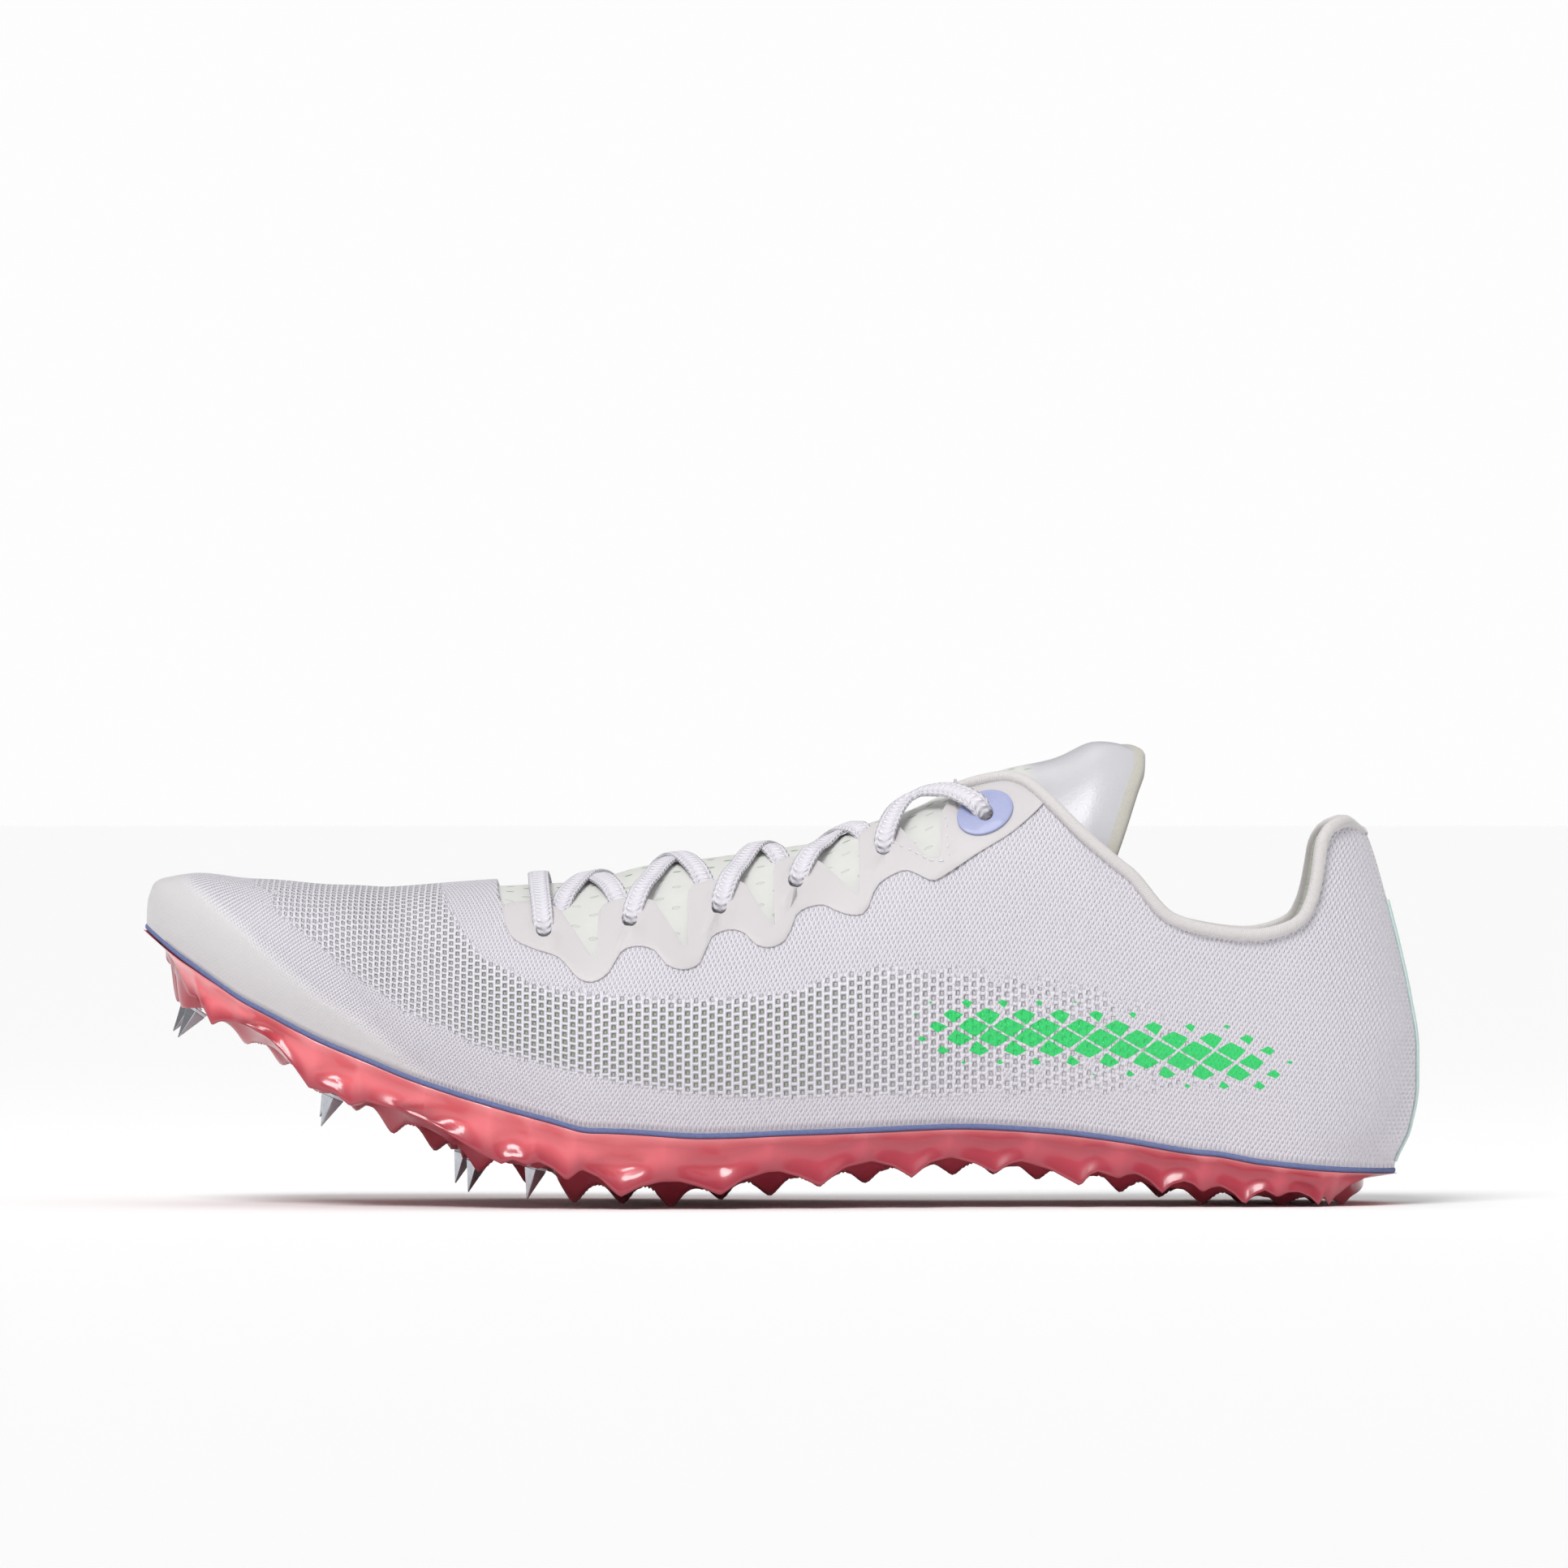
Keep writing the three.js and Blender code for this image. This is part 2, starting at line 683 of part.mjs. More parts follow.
// Oval washer around the top eyelet
function makeWasher(side) {
  const centre = sidePlace(topEyelet);
  const tilt = THREE.MathUtils.degToRad(washerTilt);
  const outline = Array.from({ length: washerSteps }, (_, i) => {
    const angle = (2 * Math.PI * i) / washerSteps;
    const long = (washerLength / 2) * Math.cos(angle);
    const short = (washerWidth / 2) * Math.sin(angle);
    return new THREE.Vector2(
      centre.x + long * Math.cos(tilt) - short * Math.sin(tilt),
      centre.y + eyeletRadius + long * Math.sin(tilt) + short * Math.cos(tilt),
    );
  });
  const inside = gap + filmThickness + gap;
  return layer(inside, inside + washerThickness)
    .intersect(sidePrism(outline, ...sideReach(side)))
    .subtract(eyeletHoles());
}

function makeTongue() {
  const outside = -(wall + gap);
  const outline = smoothLine(tongueLine.map(flatPlace), tongueSteps);
  const last = outline[outline.length - 1];
  const first = outline[0];
  const closed = [
    ...outline,
    new THREE.Vector2(last.x, skyHeight),
    new THREE.Vector2(first.x, skyHeight),
  ];
  return layer(outside - tongueThickness, outside).intersect(sidePrism(closed));
}

function makeInsole() {
  return formSolid(-(wall + gap)).intersect(hemBand(0, insoleThickness));
}

function makeHeelTape() {
  const low = sidePlace({ at: 1, height: tapeFoot });
  const high = sidePlace({ at: 1, height: tapeTop });
  const outline = [
    new THREE.Vector2(low.x - tapeWidth, low.y),
    new THREE.Vector2(low.x + tapeWidth, low.y),
    new THREE.Vector2(low.x + tapeWidth, high.y),
    new THREE.Vector2(high.x - tapeWidth, high.y),
  ];
  return layer(gap, gap + filmThickness).intersect(sidePrism(outline, -tapeWidth / 2, tapeWidth / 2));
}

// Outline point of the sole at a station: side -1 outer, 1 inner
function solePoint(at, side, proud) {
  const point = formPoint(at, side, 0);
  const centre = ballWidth * column(upperSections, "axis", at);
  const half = Math.abs(point.y - centre);
  const ends = proud * Math.sqrt(Math.max(0, 1 - ((soleEndReach * half) / ballWidth) ** 2));
  const forward = at < 0.5 ? -ends : ends;
  return new THREE.Vector3(point.x + forward, centre + side * (half + proud * endRound(at)), 0);
}

function soleShares() {
  const step = lugPitch / lugSteps / shoeLength;
  const count = Math.floor(1 / step);
  const origin = (lugStart / shoeLength) % step;
  const inside = Array.from({ length: count + 1 }, (_, i) => origin + i * step).filter(
    (at) => at > stationStart && at < 1 - stationStart,
  );
  return [...toeStations, ...inside, ...heelStations];
}

function makeBoard() {
  const rings = soleShares().map((at) => {
    const outer = solePoint(at, -1, boardProud);
    const inner = solePoint(at, 1, boardProud);
    const low = plateTop(at) + gap;
    return [
      outer.clone().setZ(low),
      inner.clone().setZ(low),
      inner.clone().setZ(boardTop(at)),
      outer.clone().setZ(boardTop(at)),
    ];
  });
  return toSolid(loft(rings));
}

// Lug pattern: 1 on a tip, 0 in the middle of a hollow; tips and hollows alternate
function lugShape(along, across) {
  let nearest = Infinity;
  const baseAlong = Math.round(along);
  const baseAcross = Math.round(across);
  for (let i = baseAlong - 1; i <= baseAlong + 1; i += 1) {
    for (let j = baseAcross - 1; j <= baseAcross + 1; j += 1) {
      if (Math.abs(i + j) % 2 === 1) {
        nearest = Math.min(nearest, (along - i) ** 2 + (across - j) ** 2);
      }
    }
  }
  return Math.min(1, nearest ** hollowCurve);
}

// Lugs are twice as close under the toe as under the rest of the foot
function lugPhase(at) {
  const place = at * shoeLength;
  const main = (2 * (place - lugStart)) / lugPitch;
  const ahead = Math.max(0, fineEnd - place);
  return main - (2 * ahead) / lugPitch;
}

function underside(at, across) {
  const depth = plateTop(at) - groundHeight(at);
  const fade = Math.min(1, endRound(at) * endHold);
  const heelFall = 1 - Math.max(0, at - heelEdgeStart) * heelEdgeFall;
  const lift = edgeLift * across * across * Math.max(heelEdgeShare, heelFall);
  const tip = groundHeight(at) - tipTrim + lift + (1 - fade) * plateFloor;
  const hollow = Math.max(0, depth - plateFloor - lift) * (Math.abs(across) > edgeStart ? edgeHollow : 1);
  const carved = 1 - lugShape(lugPhase(at), (across * lugRows) / 2);
  return tip + hollow * carved * fade;
}

function plateRing(at) {
  const top = plateTop(at);
  const outer = solePoint(at, -1, plateLip);
  const inner = solePoint(at, 1, plateLip);
  const dish = 1 - lugShape(lugPhase(at), lugRows / 2);
  const toeFade = Math.max(0, 1 - at / undercutToe);
  const heelFade = Math.max(0, 1 - (1 - at) / undercutHeel);
  const shift = toeUndercut * toeFade - heelUndercut * heelFade;
  const half = (inner.y - outer.y) / 2;
  const centre = (inner.y + outer.y) / 2;
  const lowHalf = Math.max(0, half - wallTaper - wallDish * (1 - dish));
  const midHalf = Math.max(0, half - wallTaper * wallBreakTaper - wallDish * (1 - dish));
  const edge = underside(at, 1);
  const midHeight = top - (top - edge) * wallBreak;
  const midShift = shift * wallBreakShift;
  const ring = [
    outer.clone().setZ(top),
    new THREE.Vector3(outer.x + midShift, centre - midHalf, midHeight),
  ];
  for (let i = 0; i <= columnsAcross; i += 1) {
    const across = (2 * i) / columnsAcross - 1;
    const place = half > 0 ? across : 1;
    ring.push(new THREE.Vector3(outer.x + shift, centre + across * lowHalf, underside(at, place)));
  }
  ring.push(
    new THREE.Vector3(inner.x + midShift, centre + midHalf, midHeight),
    inner.clone().setZ(top),
  );
  return ring;
}

// Where a pin sits: its seat, and the downward direction square to the sole there
function pinSeat(pin) {
  const outer = solePoint(pin.at, -1, 0);
  const inner = solePoint(pin.at, 1, 0);
  const y = (inner.y + outer.y) / 2 + (pin.across * (inner.y - outer.y)) / 2;
  const z = groundHeight(pin.at) + pin.seat * plateDepth;
  const before = plateTop(pin.at - seatSpan);
  const after = plateTop(pin.at + seatSpan);
  const fall = (before - after) / (2 * seatSpan * shoeLength);
  const direction = new THREE.Vector3(-fall, 0, -1).normalize();
  return { seat: new THREE.Vector3(outer.x, y, z), direction };
}

function alongDirection(geometry, start, direction) {
  geometry.applyQuaternion(new THREE.Quaternion().setFromUnitVectors(new THREE.Vector3(0, -1, 0), direction));
  geometry.translate(start.x, start.y, start.z);
  return toSolid(mergedSurface(geometry));
}

function makeSeat(pin) {
  const { seat, direction } = pinSeat(pin);
  const bury = plateTop(pin.at) - seat.z - plateFloor / 2;
  const post = new THREE.CylinderGeometry(seatRadius * seatFlare, seatRadius, bury, seatSides);
  post.translate(0, bury / 2, 0);
  return alongDirection(post, seat, direction);
}

function makePin(pin) {
  const { seat, direction } = pinSeat(pin);
  const start = seat.clone().addScaledVector(direction, gap);
  const profile = [
    new THREE.Vector2(0, 0),
    new THREE.Vector2(flangeRadius, 0),
    new THREE.Vector2(flangeRadius, -flangeThickness),
    new THREE.Vector2(pinRadius, -flangeThickness),
    new THREE.Vector2(0, -pinLength - flangeThickness),
  ];
  return alongDirection(new THREE.LatheGeometry(profile, pinSides), start, direction);
}

// Everything under the plate's top face, less half of its floor
function underTop() {
  const low = (at) => plateTop(at) - plateFloor / 2;
  const line = soleShares().map((at) => new THREE.Vector2(solePoint(at, 1, 0).x, low(at)));
  const first = line[0];
  const last = line[line.length - 1];
  return sidePrism([...line, new THREE.Vector2(last.x, pitHeight), new THREE.Vector2(first.x, pitHeight)]);
}

function makePlate() {
  const body = toSolid(loft(soleShares().map(plateRing)));
  const seats = pins.map(makeSeat).reduce((all, seat) => all.add(seat));
  const withSeats = body.add(seats.intersect(underTop()));
  const floorBlock = new THREE.BoxGeometry(2 * shoeLength, 2 * ballWidth, plateDepth * 2);
  floorBlock.translate(0, 0, -plateDepth);
  return withSeats.subtract(toSolid(mergedSurface(floorBlock)));
}

// Station and height of the form under a place in the side view
function formPlace(place) {
  let at = place.x / shoeLength + 0.5;
  for (let i = 0; i < placeTurns; i += 1) {
    const overHem = place.y - hemHeight(Math.min(1, at));
    at += (place.x + shoeLength / 2 - lengthwise(at, overHem)) / shoeLength;
    at = Math.min(1, Math.max(0, at));
  }
  return { at, height: (place.y - hemHeight(at)) / riseAt(at) };
}

// Surface point and outward direction of the form
function formFrame(at, side, height) {
  const point = formPoint(at, side, height);
  const lower = formPoint(at, side, Math.max(0, height - frameStep));
  const upper = formPoint(at, side, Math.min(1, height + frameStep));
  const ahead = formPoint(Math.max(0, at - frameStep), side, height);
  const behind = formPoint(Math.min(1, at + frameStep), side, height);
  const normal = new THREE.Vector3()
    .crossVectors(behind.sub(ahead), upper.sub(lower))
    .multiplyScalar(-side)
    .normalize();
  return { point, normal };
}

// Strip of a flat-sided section along frames; corners are in widths across and along the normal
function strip(frames, corners) {
  const rings = frames.map(({ point, normal }, i) => {
    const before = frames[Math.max(0, i - 1)].point;
    const after = frames[Math.min(frames.length - 1, i + 1)].point;
    const along = new THREE.Vector3().subVectors(after, before).normalize();
    const across = new THREE.Vector3().crossVectors(normal, along).normalize();
    const up = new THREE.Vector3().crossVectors(along, across).normalize();
    return corners.map(([a, b]) => point.clone().addScaledVector(across, a).addScaledVector(up, b));
  });
  return toSolid(loft(rings));
}

// Stations and heights along the collar, evenly spaced on the form, up to the back of the heel
function collarStations() {
  const fine = smoothLine(collarLine.map(flatPlace), collarSteps * collarFineness);
  const stations = [];
  let last = null;
  for (const place of shiftedLine(fine, bindingHeight / 2)) {
    const { at, height } = formPlace(place);
    const point = formPoint(at, -1, height);
    if (last === null || point.distanceTo(last) > bindingStep || at >= 1) {
      stations.push({ at, height });
      last = point;
    }
    if (at >= 1) break;
  }
  return stations;
}

function makeBinding() {
  const stations = collarStations();
  const outer = stations.map(({ at, height }) => formFrame(at, -1, height));
  const inner = stations.slice(0, -1).map(({ at, height }) => formFrame(at, 1, height));
  const frames = [...outer, ...inner.reverse()].map(({ point, normal }) => ({
    point: point.clone().addScaledVector(normal, bindingWidth / 2 - wall),
    normal,
  }));
  const corners = Array.from({ length: bindingSides }, (_, i) => {
    const angle = (2 * Math.PI * (i + 0.5)) / bindingSides;
    return [(bindingHeight / 2) * Math.cos(angle), (bindingWidth / 2) * Math.sin(angle)];
  });
  return strip(frames, corners);
}

// Frame on the form at a station and a place across it, near the crown
function crownFrame(at, y) {
  const ridge = formPoint(at, 1, 1).y;
  const side = y < ridge ? -1 : 1;
  let low = bellyHeight;
  let high = crownTop;
  for (let i = 0; i < crownTurns; i += 1) {
    const middle = (low + high) / 2;
    if (side * (formPoint(at, side, middle).y - y) > 0) low = middle;
    else high = middle;
  }
  const { point, normal } = formFrame(at, side, low);
  return { point, normal };
}

// Eyelet of a tab on the form, and how far along the way to it the throat edge lies
function eyeletPoint(tab, side) {
  const { at, height } = formPlace(sidePlace(tab.eyelet));
  const ridge = formPoint(at, side, 1).y;
  const { y } = formPoint(at, side, height);
  const reaches = [tab.front, tab.back].map((corner) => {
    const top = formPlace(sidePlace(corner));
    return Math.abs(formPoint(top.at, side, top.height).y - formPoint(top.at, side, 1).y);
  });
  return { at, y, edge: Math.min(...reaches) / Math.abs(y - ridge) };
}

function laceSection() {
  const width = laceWidth / 2;
  const height = laceThickness / 2;
  return [[-width, -height], [width, -height], [width, height], [-width, height]];
}

const laceOver = gap + filmThickness + gap + laceThickness / 2;
const laceUnder = -(wall + gap) + laceRest + laceThickness / 2;

// Lace run across the tongue from one eyelet toward another: it starts on the tab, or beside it
// where it comes from underneath, and it ends on the other tab or stops short of it
function laceRun(from, to, fromOver, toOver) {
  const length = Math.hypot(to.y - from.y, (to.at - from.at) * shoeLength);
  const clear = (laceWidth / 2 + gap) / length;
  const firstEdge = 0.5 - 0.5 * from.edge;
  const lastEdge = 0.5 + 0.5 * to.edge;
  const start = fromOver ? 0 : firstEdge + clear;
  const end = toOver ? 1 : lastEdge - clear;
  const drop = (share, edge) => THREE.MathUtils.smoothstep(share, edge + clear / 2, 0.5);
  const frames = Array.from({ length: laceSteps + 1 }, (_, i) => {
    const t = THREE.MathUtils.lerp(start, end, i / laceSteps);
    const { point, normal } = crownFrame(
      THREE.MathUtils.lerp(from.at, to.at, t),
      THREE.MathUtils.lerp(from.y, to.y, t),
    );
    let height = laceUnder;
    if (fromOver && t < 0.5) height = THREE.MathUtils.lerp(laceOver, laceUnder, drop(t, firstEdge));
    if (toOver && t >= 0.5) height = THREE.MathUtils.lerp(laceOver, laceUnder, drop(1 - t, 1 - lastEdge));
    return { point: point.clone().addScaledVector(normal, height), normal };
  });
  return strip(frames, laceSection());
}

// The straight bar at the toe end, then the crossing behind each tab
function laceSolids() {
  const places = tabs.map((tab) => ({ outer: eyeletPoint(tab, -1), inner: eyeletPoint(tab, 1) }));
  const bar = laceRun(places[0].outer, places[0].inner, true, true);
  const crossings = places.slice(0, -1).map((here, i) => {
    const next = places[i + 1];
    const one = laceRun(here.outer, next.inner, i > 0, false);
    const two = laceRun(here.inner, next.outer, i > 0, false);
    return one.add(two);
  });
  return [bar, ...crossings, makeTopStrand(-1), makeTopStrand(1)];
}

// Strand on one side from the last tab to the top eyelet, over the washer
function makeTopStrand(side) {
  const over = laceOver + washerThickness + gap;
  const frames = smoothLine(topStrand.map(flatPlace), topStrandSteps).map((place) => {
    const { at, height } = formPlace(place);
    const { point, normal } = formFrame(at, side, Math.min(height, strandCeiling));
    return { point: point.clone().addScaledVector(normal, over), normal };
  });
  return strip(frames, laceSection());
}

const finishes = {
  coral: { color: "#d8636e", roughness: 0.25, metalness: 0 },
  slate: { color: "#5f6ea0", roughness: 0.85, metalness: 0 },
  cloth: { color: "#e4e1e8", roughness: 0.8, metalness: 0 },
  lining: { color: "#e3e6e0", roughness: 0.8, metalness: 0 },
  film: { color: "#dedbdc", roughness: 0.45, metalness: 0 },
  lilac: { color: "#afb9e8", roughness: 0.4, metalness: 0 },
  cord: { color: "#e8e6f0", roughness: 0.85, metalness: 0 },
  mint: { color: "#bee1d7", roughness: 0.6, metalness: 0 },
  steel: { color: "#c9ccd2", roughness: 0.2, metalness: 1 },
};

const shoe = new THREE.Group();

function addPiece(name, solid, finish) {
  const mesh = new THREE.Mesh(toGeometry(solid), new THREE.MeshStandardMaterial(finishes[finish]));
  mesh.name = name;
  shoe.add(mesh);
}

addPiece("spike_plate", makePlate(), "coral");
addPiece("midsole_board", makeBoard(), "slate");
addPiece("insole", makeInsole(), "lining");
addPiece("upper", makeUpper(), "cloth");
addPiece("tongue", makeTongue(), "lining");
addPiece("eyestay_lateral", makeFilm(-1), "film");
addPiece("eyestay_medial", makeFilm(1), "film");
addPiece("washer_lateral", makeWasher(-1), "lilac");
addPiece("washer_medial", makeWasher(1), "lilac");
addPiece("collar_binding", makeBinding(), "cloth");
addPiece("heel_tape", makeHeelTape(), "mint");
laceSolids().forEach((solid, i) => addPiece(`lace_run_${i + 1}`, solid, "cord"));
pins.forEach((pin, i) => addPiece(`spike_${i + 1}`, makePin(pin), "steel"));

// The origin is the middle of the shoe's footprint, on the floor
const footprint = new THREE.Box3().setFromObject(shoe).getCenter(new THREE.Vector3());
shoe.position.set(-footprint.x, -footprint.y, 0);

export default shoe;
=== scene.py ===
# Track spike shoe for the left foot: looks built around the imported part.
# Shapes are worked out in millimetres, toe toward -X, outer side toward -Y, floor at z = 0.
import math
from bisect import bisect_right

import bmesh
import bpy
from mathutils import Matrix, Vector


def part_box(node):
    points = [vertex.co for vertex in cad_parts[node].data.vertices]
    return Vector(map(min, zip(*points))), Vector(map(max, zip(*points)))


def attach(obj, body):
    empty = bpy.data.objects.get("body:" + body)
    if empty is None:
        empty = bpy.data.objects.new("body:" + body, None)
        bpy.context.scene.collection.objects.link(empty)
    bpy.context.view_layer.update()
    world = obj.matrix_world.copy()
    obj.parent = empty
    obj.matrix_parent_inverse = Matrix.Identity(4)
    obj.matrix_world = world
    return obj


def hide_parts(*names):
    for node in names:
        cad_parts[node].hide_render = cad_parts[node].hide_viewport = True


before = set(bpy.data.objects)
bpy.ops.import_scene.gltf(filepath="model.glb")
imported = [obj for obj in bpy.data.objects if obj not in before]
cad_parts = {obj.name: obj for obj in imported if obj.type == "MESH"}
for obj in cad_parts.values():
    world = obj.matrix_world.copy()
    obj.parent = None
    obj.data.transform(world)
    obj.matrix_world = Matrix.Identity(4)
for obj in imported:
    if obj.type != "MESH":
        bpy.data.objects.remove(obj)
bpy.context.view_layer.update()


# Numbers and lines

def clamp(value, low=0.0, high=1.0):
    return min(high, max(low, value))


def smoothStep(low, high, value):
    share = clamp((value - low) / (high - low))
    return share * share * (3 - 2 * share)


def blend(first, second, share):
    return first + (second - first) * share


# Smooth monotone curves through the columns of a table, read by its first column
class Table:
    def __init__(self, names, *rows):
        self.columns = {name: [row[i] for row in rows] for i, name in enumerate(names.split())}
        self.places = self.columns[names.split()[0]]
        self.slopes = {name: self.tangents(values) for name, values in self.columns.items()}

    def tangents(self, values):
        rises = [(values[i + 1] - values[i]) / (self.places[i + 1] - self.places[i])
                 for i in range(len(values) - 1)]
        middle = [0 if a * b <= 0 else 2 * a * b / (a + b) for a, b in zip(rises, rises[1:])]
        return [rises[0], *middle, rises[-1]]

    def read(self, name, place):
        values, slopes, places = self.columns[name], self.slopes[name], self.places
        if place <= places[0]:
            return values[0]
        if place >= places[-1]:
            return values[-1]
        i = bisect_right(places, place) - 1
        span = places[i + 1] - places[i]
        t = (place - places[i]) / span
        square, cube = t * t, t * t * t
        return ((2 * cube - 3 * square + 1) * values[i] + (cube - 2 * square + t) * span * slopes[i]
                + (3 * square - 2 * cube) * values[i + 1] + (cube - square) * span * slopes[i + 1])


# Straight interpolation, for lines with sharp tips
def polyline(rows, place):
    if place <= rows[0][0]:
        return rows[0][1]
    for (x0, y0), (x1, y1) in zip(rows, rows[1:]):
        if place <= x1:
            return blend(y0, y1, (place - x0) / (x1 - x0))
    return rows[-1][1]


# Rounded line through points, in steps of about the spacing
def smoothLine(points, spacing):
    points = [Vector(point) for point in points]
    line = []
    for i in range(len(points) - 1):
        p0, p1 = points[max(0, i - 1)], points[i]
        p2, p3 = points[i + 1], points[min(len(points) - 1, i + 2)]
        count = max(1, round((p2 - p1).length / spacing))
        for k in range(count):
            t = k / count
            line.append(0.5 * (2 * p1 + (p2 - p0) * t + (2 * p0 - 5 * p1 + 4 * p2 - p3) * t ** 2
                               + (3 * p1 - p0 - 3 * p2 + p3) * t ** 3))
    return [*line, points[-1]]


# The form shared by the upper and all that lies on it

form = {
    "length": 283.0, "ballWidth": 92.0, "upperHeight": 90.0,
    "toeSpring": 50.0, "archRise": 7.0, "plateDepth": 17.0,
    "board": 1.2, "gap": 0.3, "wall": 1.3,
    "footShare": 0.93, "belly": 0.27,              # width at the hem, and height of the widest place
    "toeRound": 0.16, "heelRound": 0.105,          # shares of the length over which the ends round in
    "heelReach": 0.2, "heelCurve": 1.5, "toeReach": 0.06, "toeInset": 0.001,
    "frameStep": 0.003, "placeTurns": 12, "walkSamples": 900,
}
length, ballWidth, upperHeight = form["length"], form["ballWidth"], form["upperHeight"]

soleTable = Table(
    "at spring arch depth",
    (0, 1, 0, .64), (.036, .88, 0, .54), (.071, .75, 0, .53), (.106, .62, 0, .6), (.141, .49, 0, .69),
    (.177, .38, 0, .77), (.212, .28, 0, .83), (.247, .19, 0, .9), (.283, .12, 0, .93), (.318, .06, 0, .95),
    (.355, 0, 0, .98), (.42, 0, 0, .92), (.46, 0, .2, .83), (.5, 0, .41, .77), (.57, 0, .77, .66),
    (.64, 0, 1, .605), (.704, 0, .83, .62), (.764, 0, .44, .66), (.835, 0, .04, .645), (.88, 0, 0, .545),
    (.93, 0, 0, .465), (1, 0, 0, .4))

upperTable = Table(
    "at rise axis half lean slope round",
    (0, .056, .1, .33, 0, 2.2, 2.1), (.005, .106, .096, .331, 0, 2.2, 2.1),
    (.019, .158, .088, .335, 0, 2.2, 2.1), (.04, .214, .075, .342, 0, 2.2, 2.1),
    (.076, .278, .05, .357, .005, 2.1, 2.1), (.115, .334, .03, .378, .015, 2, 2.1),
    (.152, .38, .015, .4, .025, 1.95, 2.1), (.19, .425, 0, .43, .035, 1.9, 2.1),
    (.23, .479, -.013, .462, .04, 1.8, 2.05), (.268, .525, -.02, .483, .045, 1.7, 2),
    (.305, .563, -.028, .495, .045, 1.6, 2), (.363, .622, -.046, .492, .045, 1.5, 2.05),
    (.4, .658, -.058, .475, .045, 1.45, 2.1), (.44, .679, -.067, .452, .045, 1.4, 2.15),
    (.5, .699, -.071, .418, .045, 1.4, 2.2), (.535, .714, -.068, .398, .042, 1.4, 2.25),
    (.565, .75, -.063, .383, .04, 1.4, 2.3), (.6, .782, -.056, .368, .035, 1.45, 2.35),
    (.635, .83, -.047, .354, .03, 1.45, 2.35), (.675, .883, -.037, .343, .024, 1.5, 2.4),
    (.712, .917, -.028, .338, .018, 1.55, 2.4), (.745, .975, -.02, .336, .012, 1.6, 2.4),
    (.795, 1.02, -.01, .335, .004, 1.7, 2.3), (.85, 1.07, -.005, .335, 0, 1.75, 2.2),
    (.925, 1.11, -.002, .333, 0, 1.8, 2.1), (1, 1.13, 0, .33, 0, 1.8, 2.1))

heelTable = Table(
    "height inset",
    (-.1, .0205), (0, .018), (.09, .006), (.2, 0), (.29, 0), (.42, .006), (.55, .015), (.7, .0275),
    (.79, .0361), (.83, .0418), (.85, .0476), (.862, .057), (1.13, .1))

form["shiftX"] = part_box("upper")[0][0] * 1000 + length / 2
form["shiftY"] = (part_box("heel_tape")[0][1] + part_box("heel_tape")[1][1]) * 500


def groundHeight(at):
    return form["toeSpring"] * soleTable.read("spring", at) + form["archRise"] * soleTable.read("arch", at)


def plateTop(at):
    return groundHeight(at) + form["plateDepth"] * soleTable.read("depth", at)


def hemHeight(at):
    return plateTop(at) + 2 * form["gap"] + form["board"]


def endRound(at):
    toe = max(0, 1 - at / form["toeRound"])
    heel = max(0, 1 - (1 - at) / form["heelRound"])
    return math.sqrt(max(0, 1 - toe * toe)) * math.sqrt(max(0, 1 - heel * heel))


def girth(at, height):
    belly = form["belly"]
    if height <= belly:
        return form["footShare"] + (1 - form["footShare"]) * math.sin(max(0, height) / belly * math.pi / 2)
    climb = min(1, (height - belly) / (1 - belly))
    return (1 - climb ** upperTable.read("slope", at)) ** (1 / upperTable.read("round", at))


def riseAt(at):
    return upperHeight * upperTable.read("rise", at)


def lengthwise(at, overHem):
    heelFade = max(0, 1 - (1 - at) / form["heelReach"]) ** form["heelCurve"]
    toeFade = max(0, 1 - at / form["toeReach"]) ** 2
    lift = clamp(overHem / riseAt(0))
    return length * (at - heelFade * heelTable.read("inset", overHem / upperHeight)
                     + toeFade * form["toeInset"] * lift * lift)


# Point of the form: side -1 outer, 1 inner; height 0 at the hem, 1 at the crown
def formPoint(at, side, height):
    overHem = riseAt(at) * height
    half = upperTable.read("half", at) * endRound(at) * girth(at, height)
    lean = upperTable.read("lean", at) * max(0, height) ** 2
    return Vector((lengthwise(at, overHem) - length / 2,
                   ballWidth * (upperTable.read("axis", at) + lean + side * half),
                   hemHeight(at) + overHem))


# The same form by a place across it: -1 outer hem, 0 crown, 1 inner hem
def skin(at, across):
    return formPoint(at, -1 if across < 0 else 1, math.sin((1 - abs(across)) * math.pi / 2))


def acrossOf(side, height):
    return side * (1 - math.asin(clamp(height)) * 2 / math.pi)


def skinFrame(at, across):
    step = form["frameStep"]
    at = clamp(at, step, 1 - step)
    across = clamp(across, step - 1, 1 - step)
    point = skin(at, across)
    along = skin(at + step, across) - skin(at - step, across)
    over = skin(at, across + step) - skin(at, across - step)
    normal = along.cross(over).normalized()
    middle = Vector((point.x, ballWidth * upperTable.read("axis", at), hemHeight(at)))
    return point, (normal if normal.dot(point - middle) > 0 else -normal)


# Station and height of the form under a place in the side view
def formPlace(x, z):
    at = clamp(x / length + 0.5)
    for _ in range(form["placeTurns"]):
        at = clamp(at + (x + length / 2 - lengthwise(at, z - hemHeight(at))) / length)
    return at, (z - hemHeight(at)) / riseAt(at)


# Side view measures: steps of 0.1804 mm, counted from the toe line and the floor line
side = {"step": 0.1804, "toe": 178, "floor": 1483}


def sideView(across, down):
    return (across - side["toe"]) * side["step"] - length / 2, (side["floor"] - down) * side["step"]


def sideSteps(point):
    return (point[0] + length / 2) / side["step"] + side["toe"], side["floor"] - point[2] / side["step"]


def sidePoints(spots):
    return [Vector(sideView(*spot)) for spot in spots]


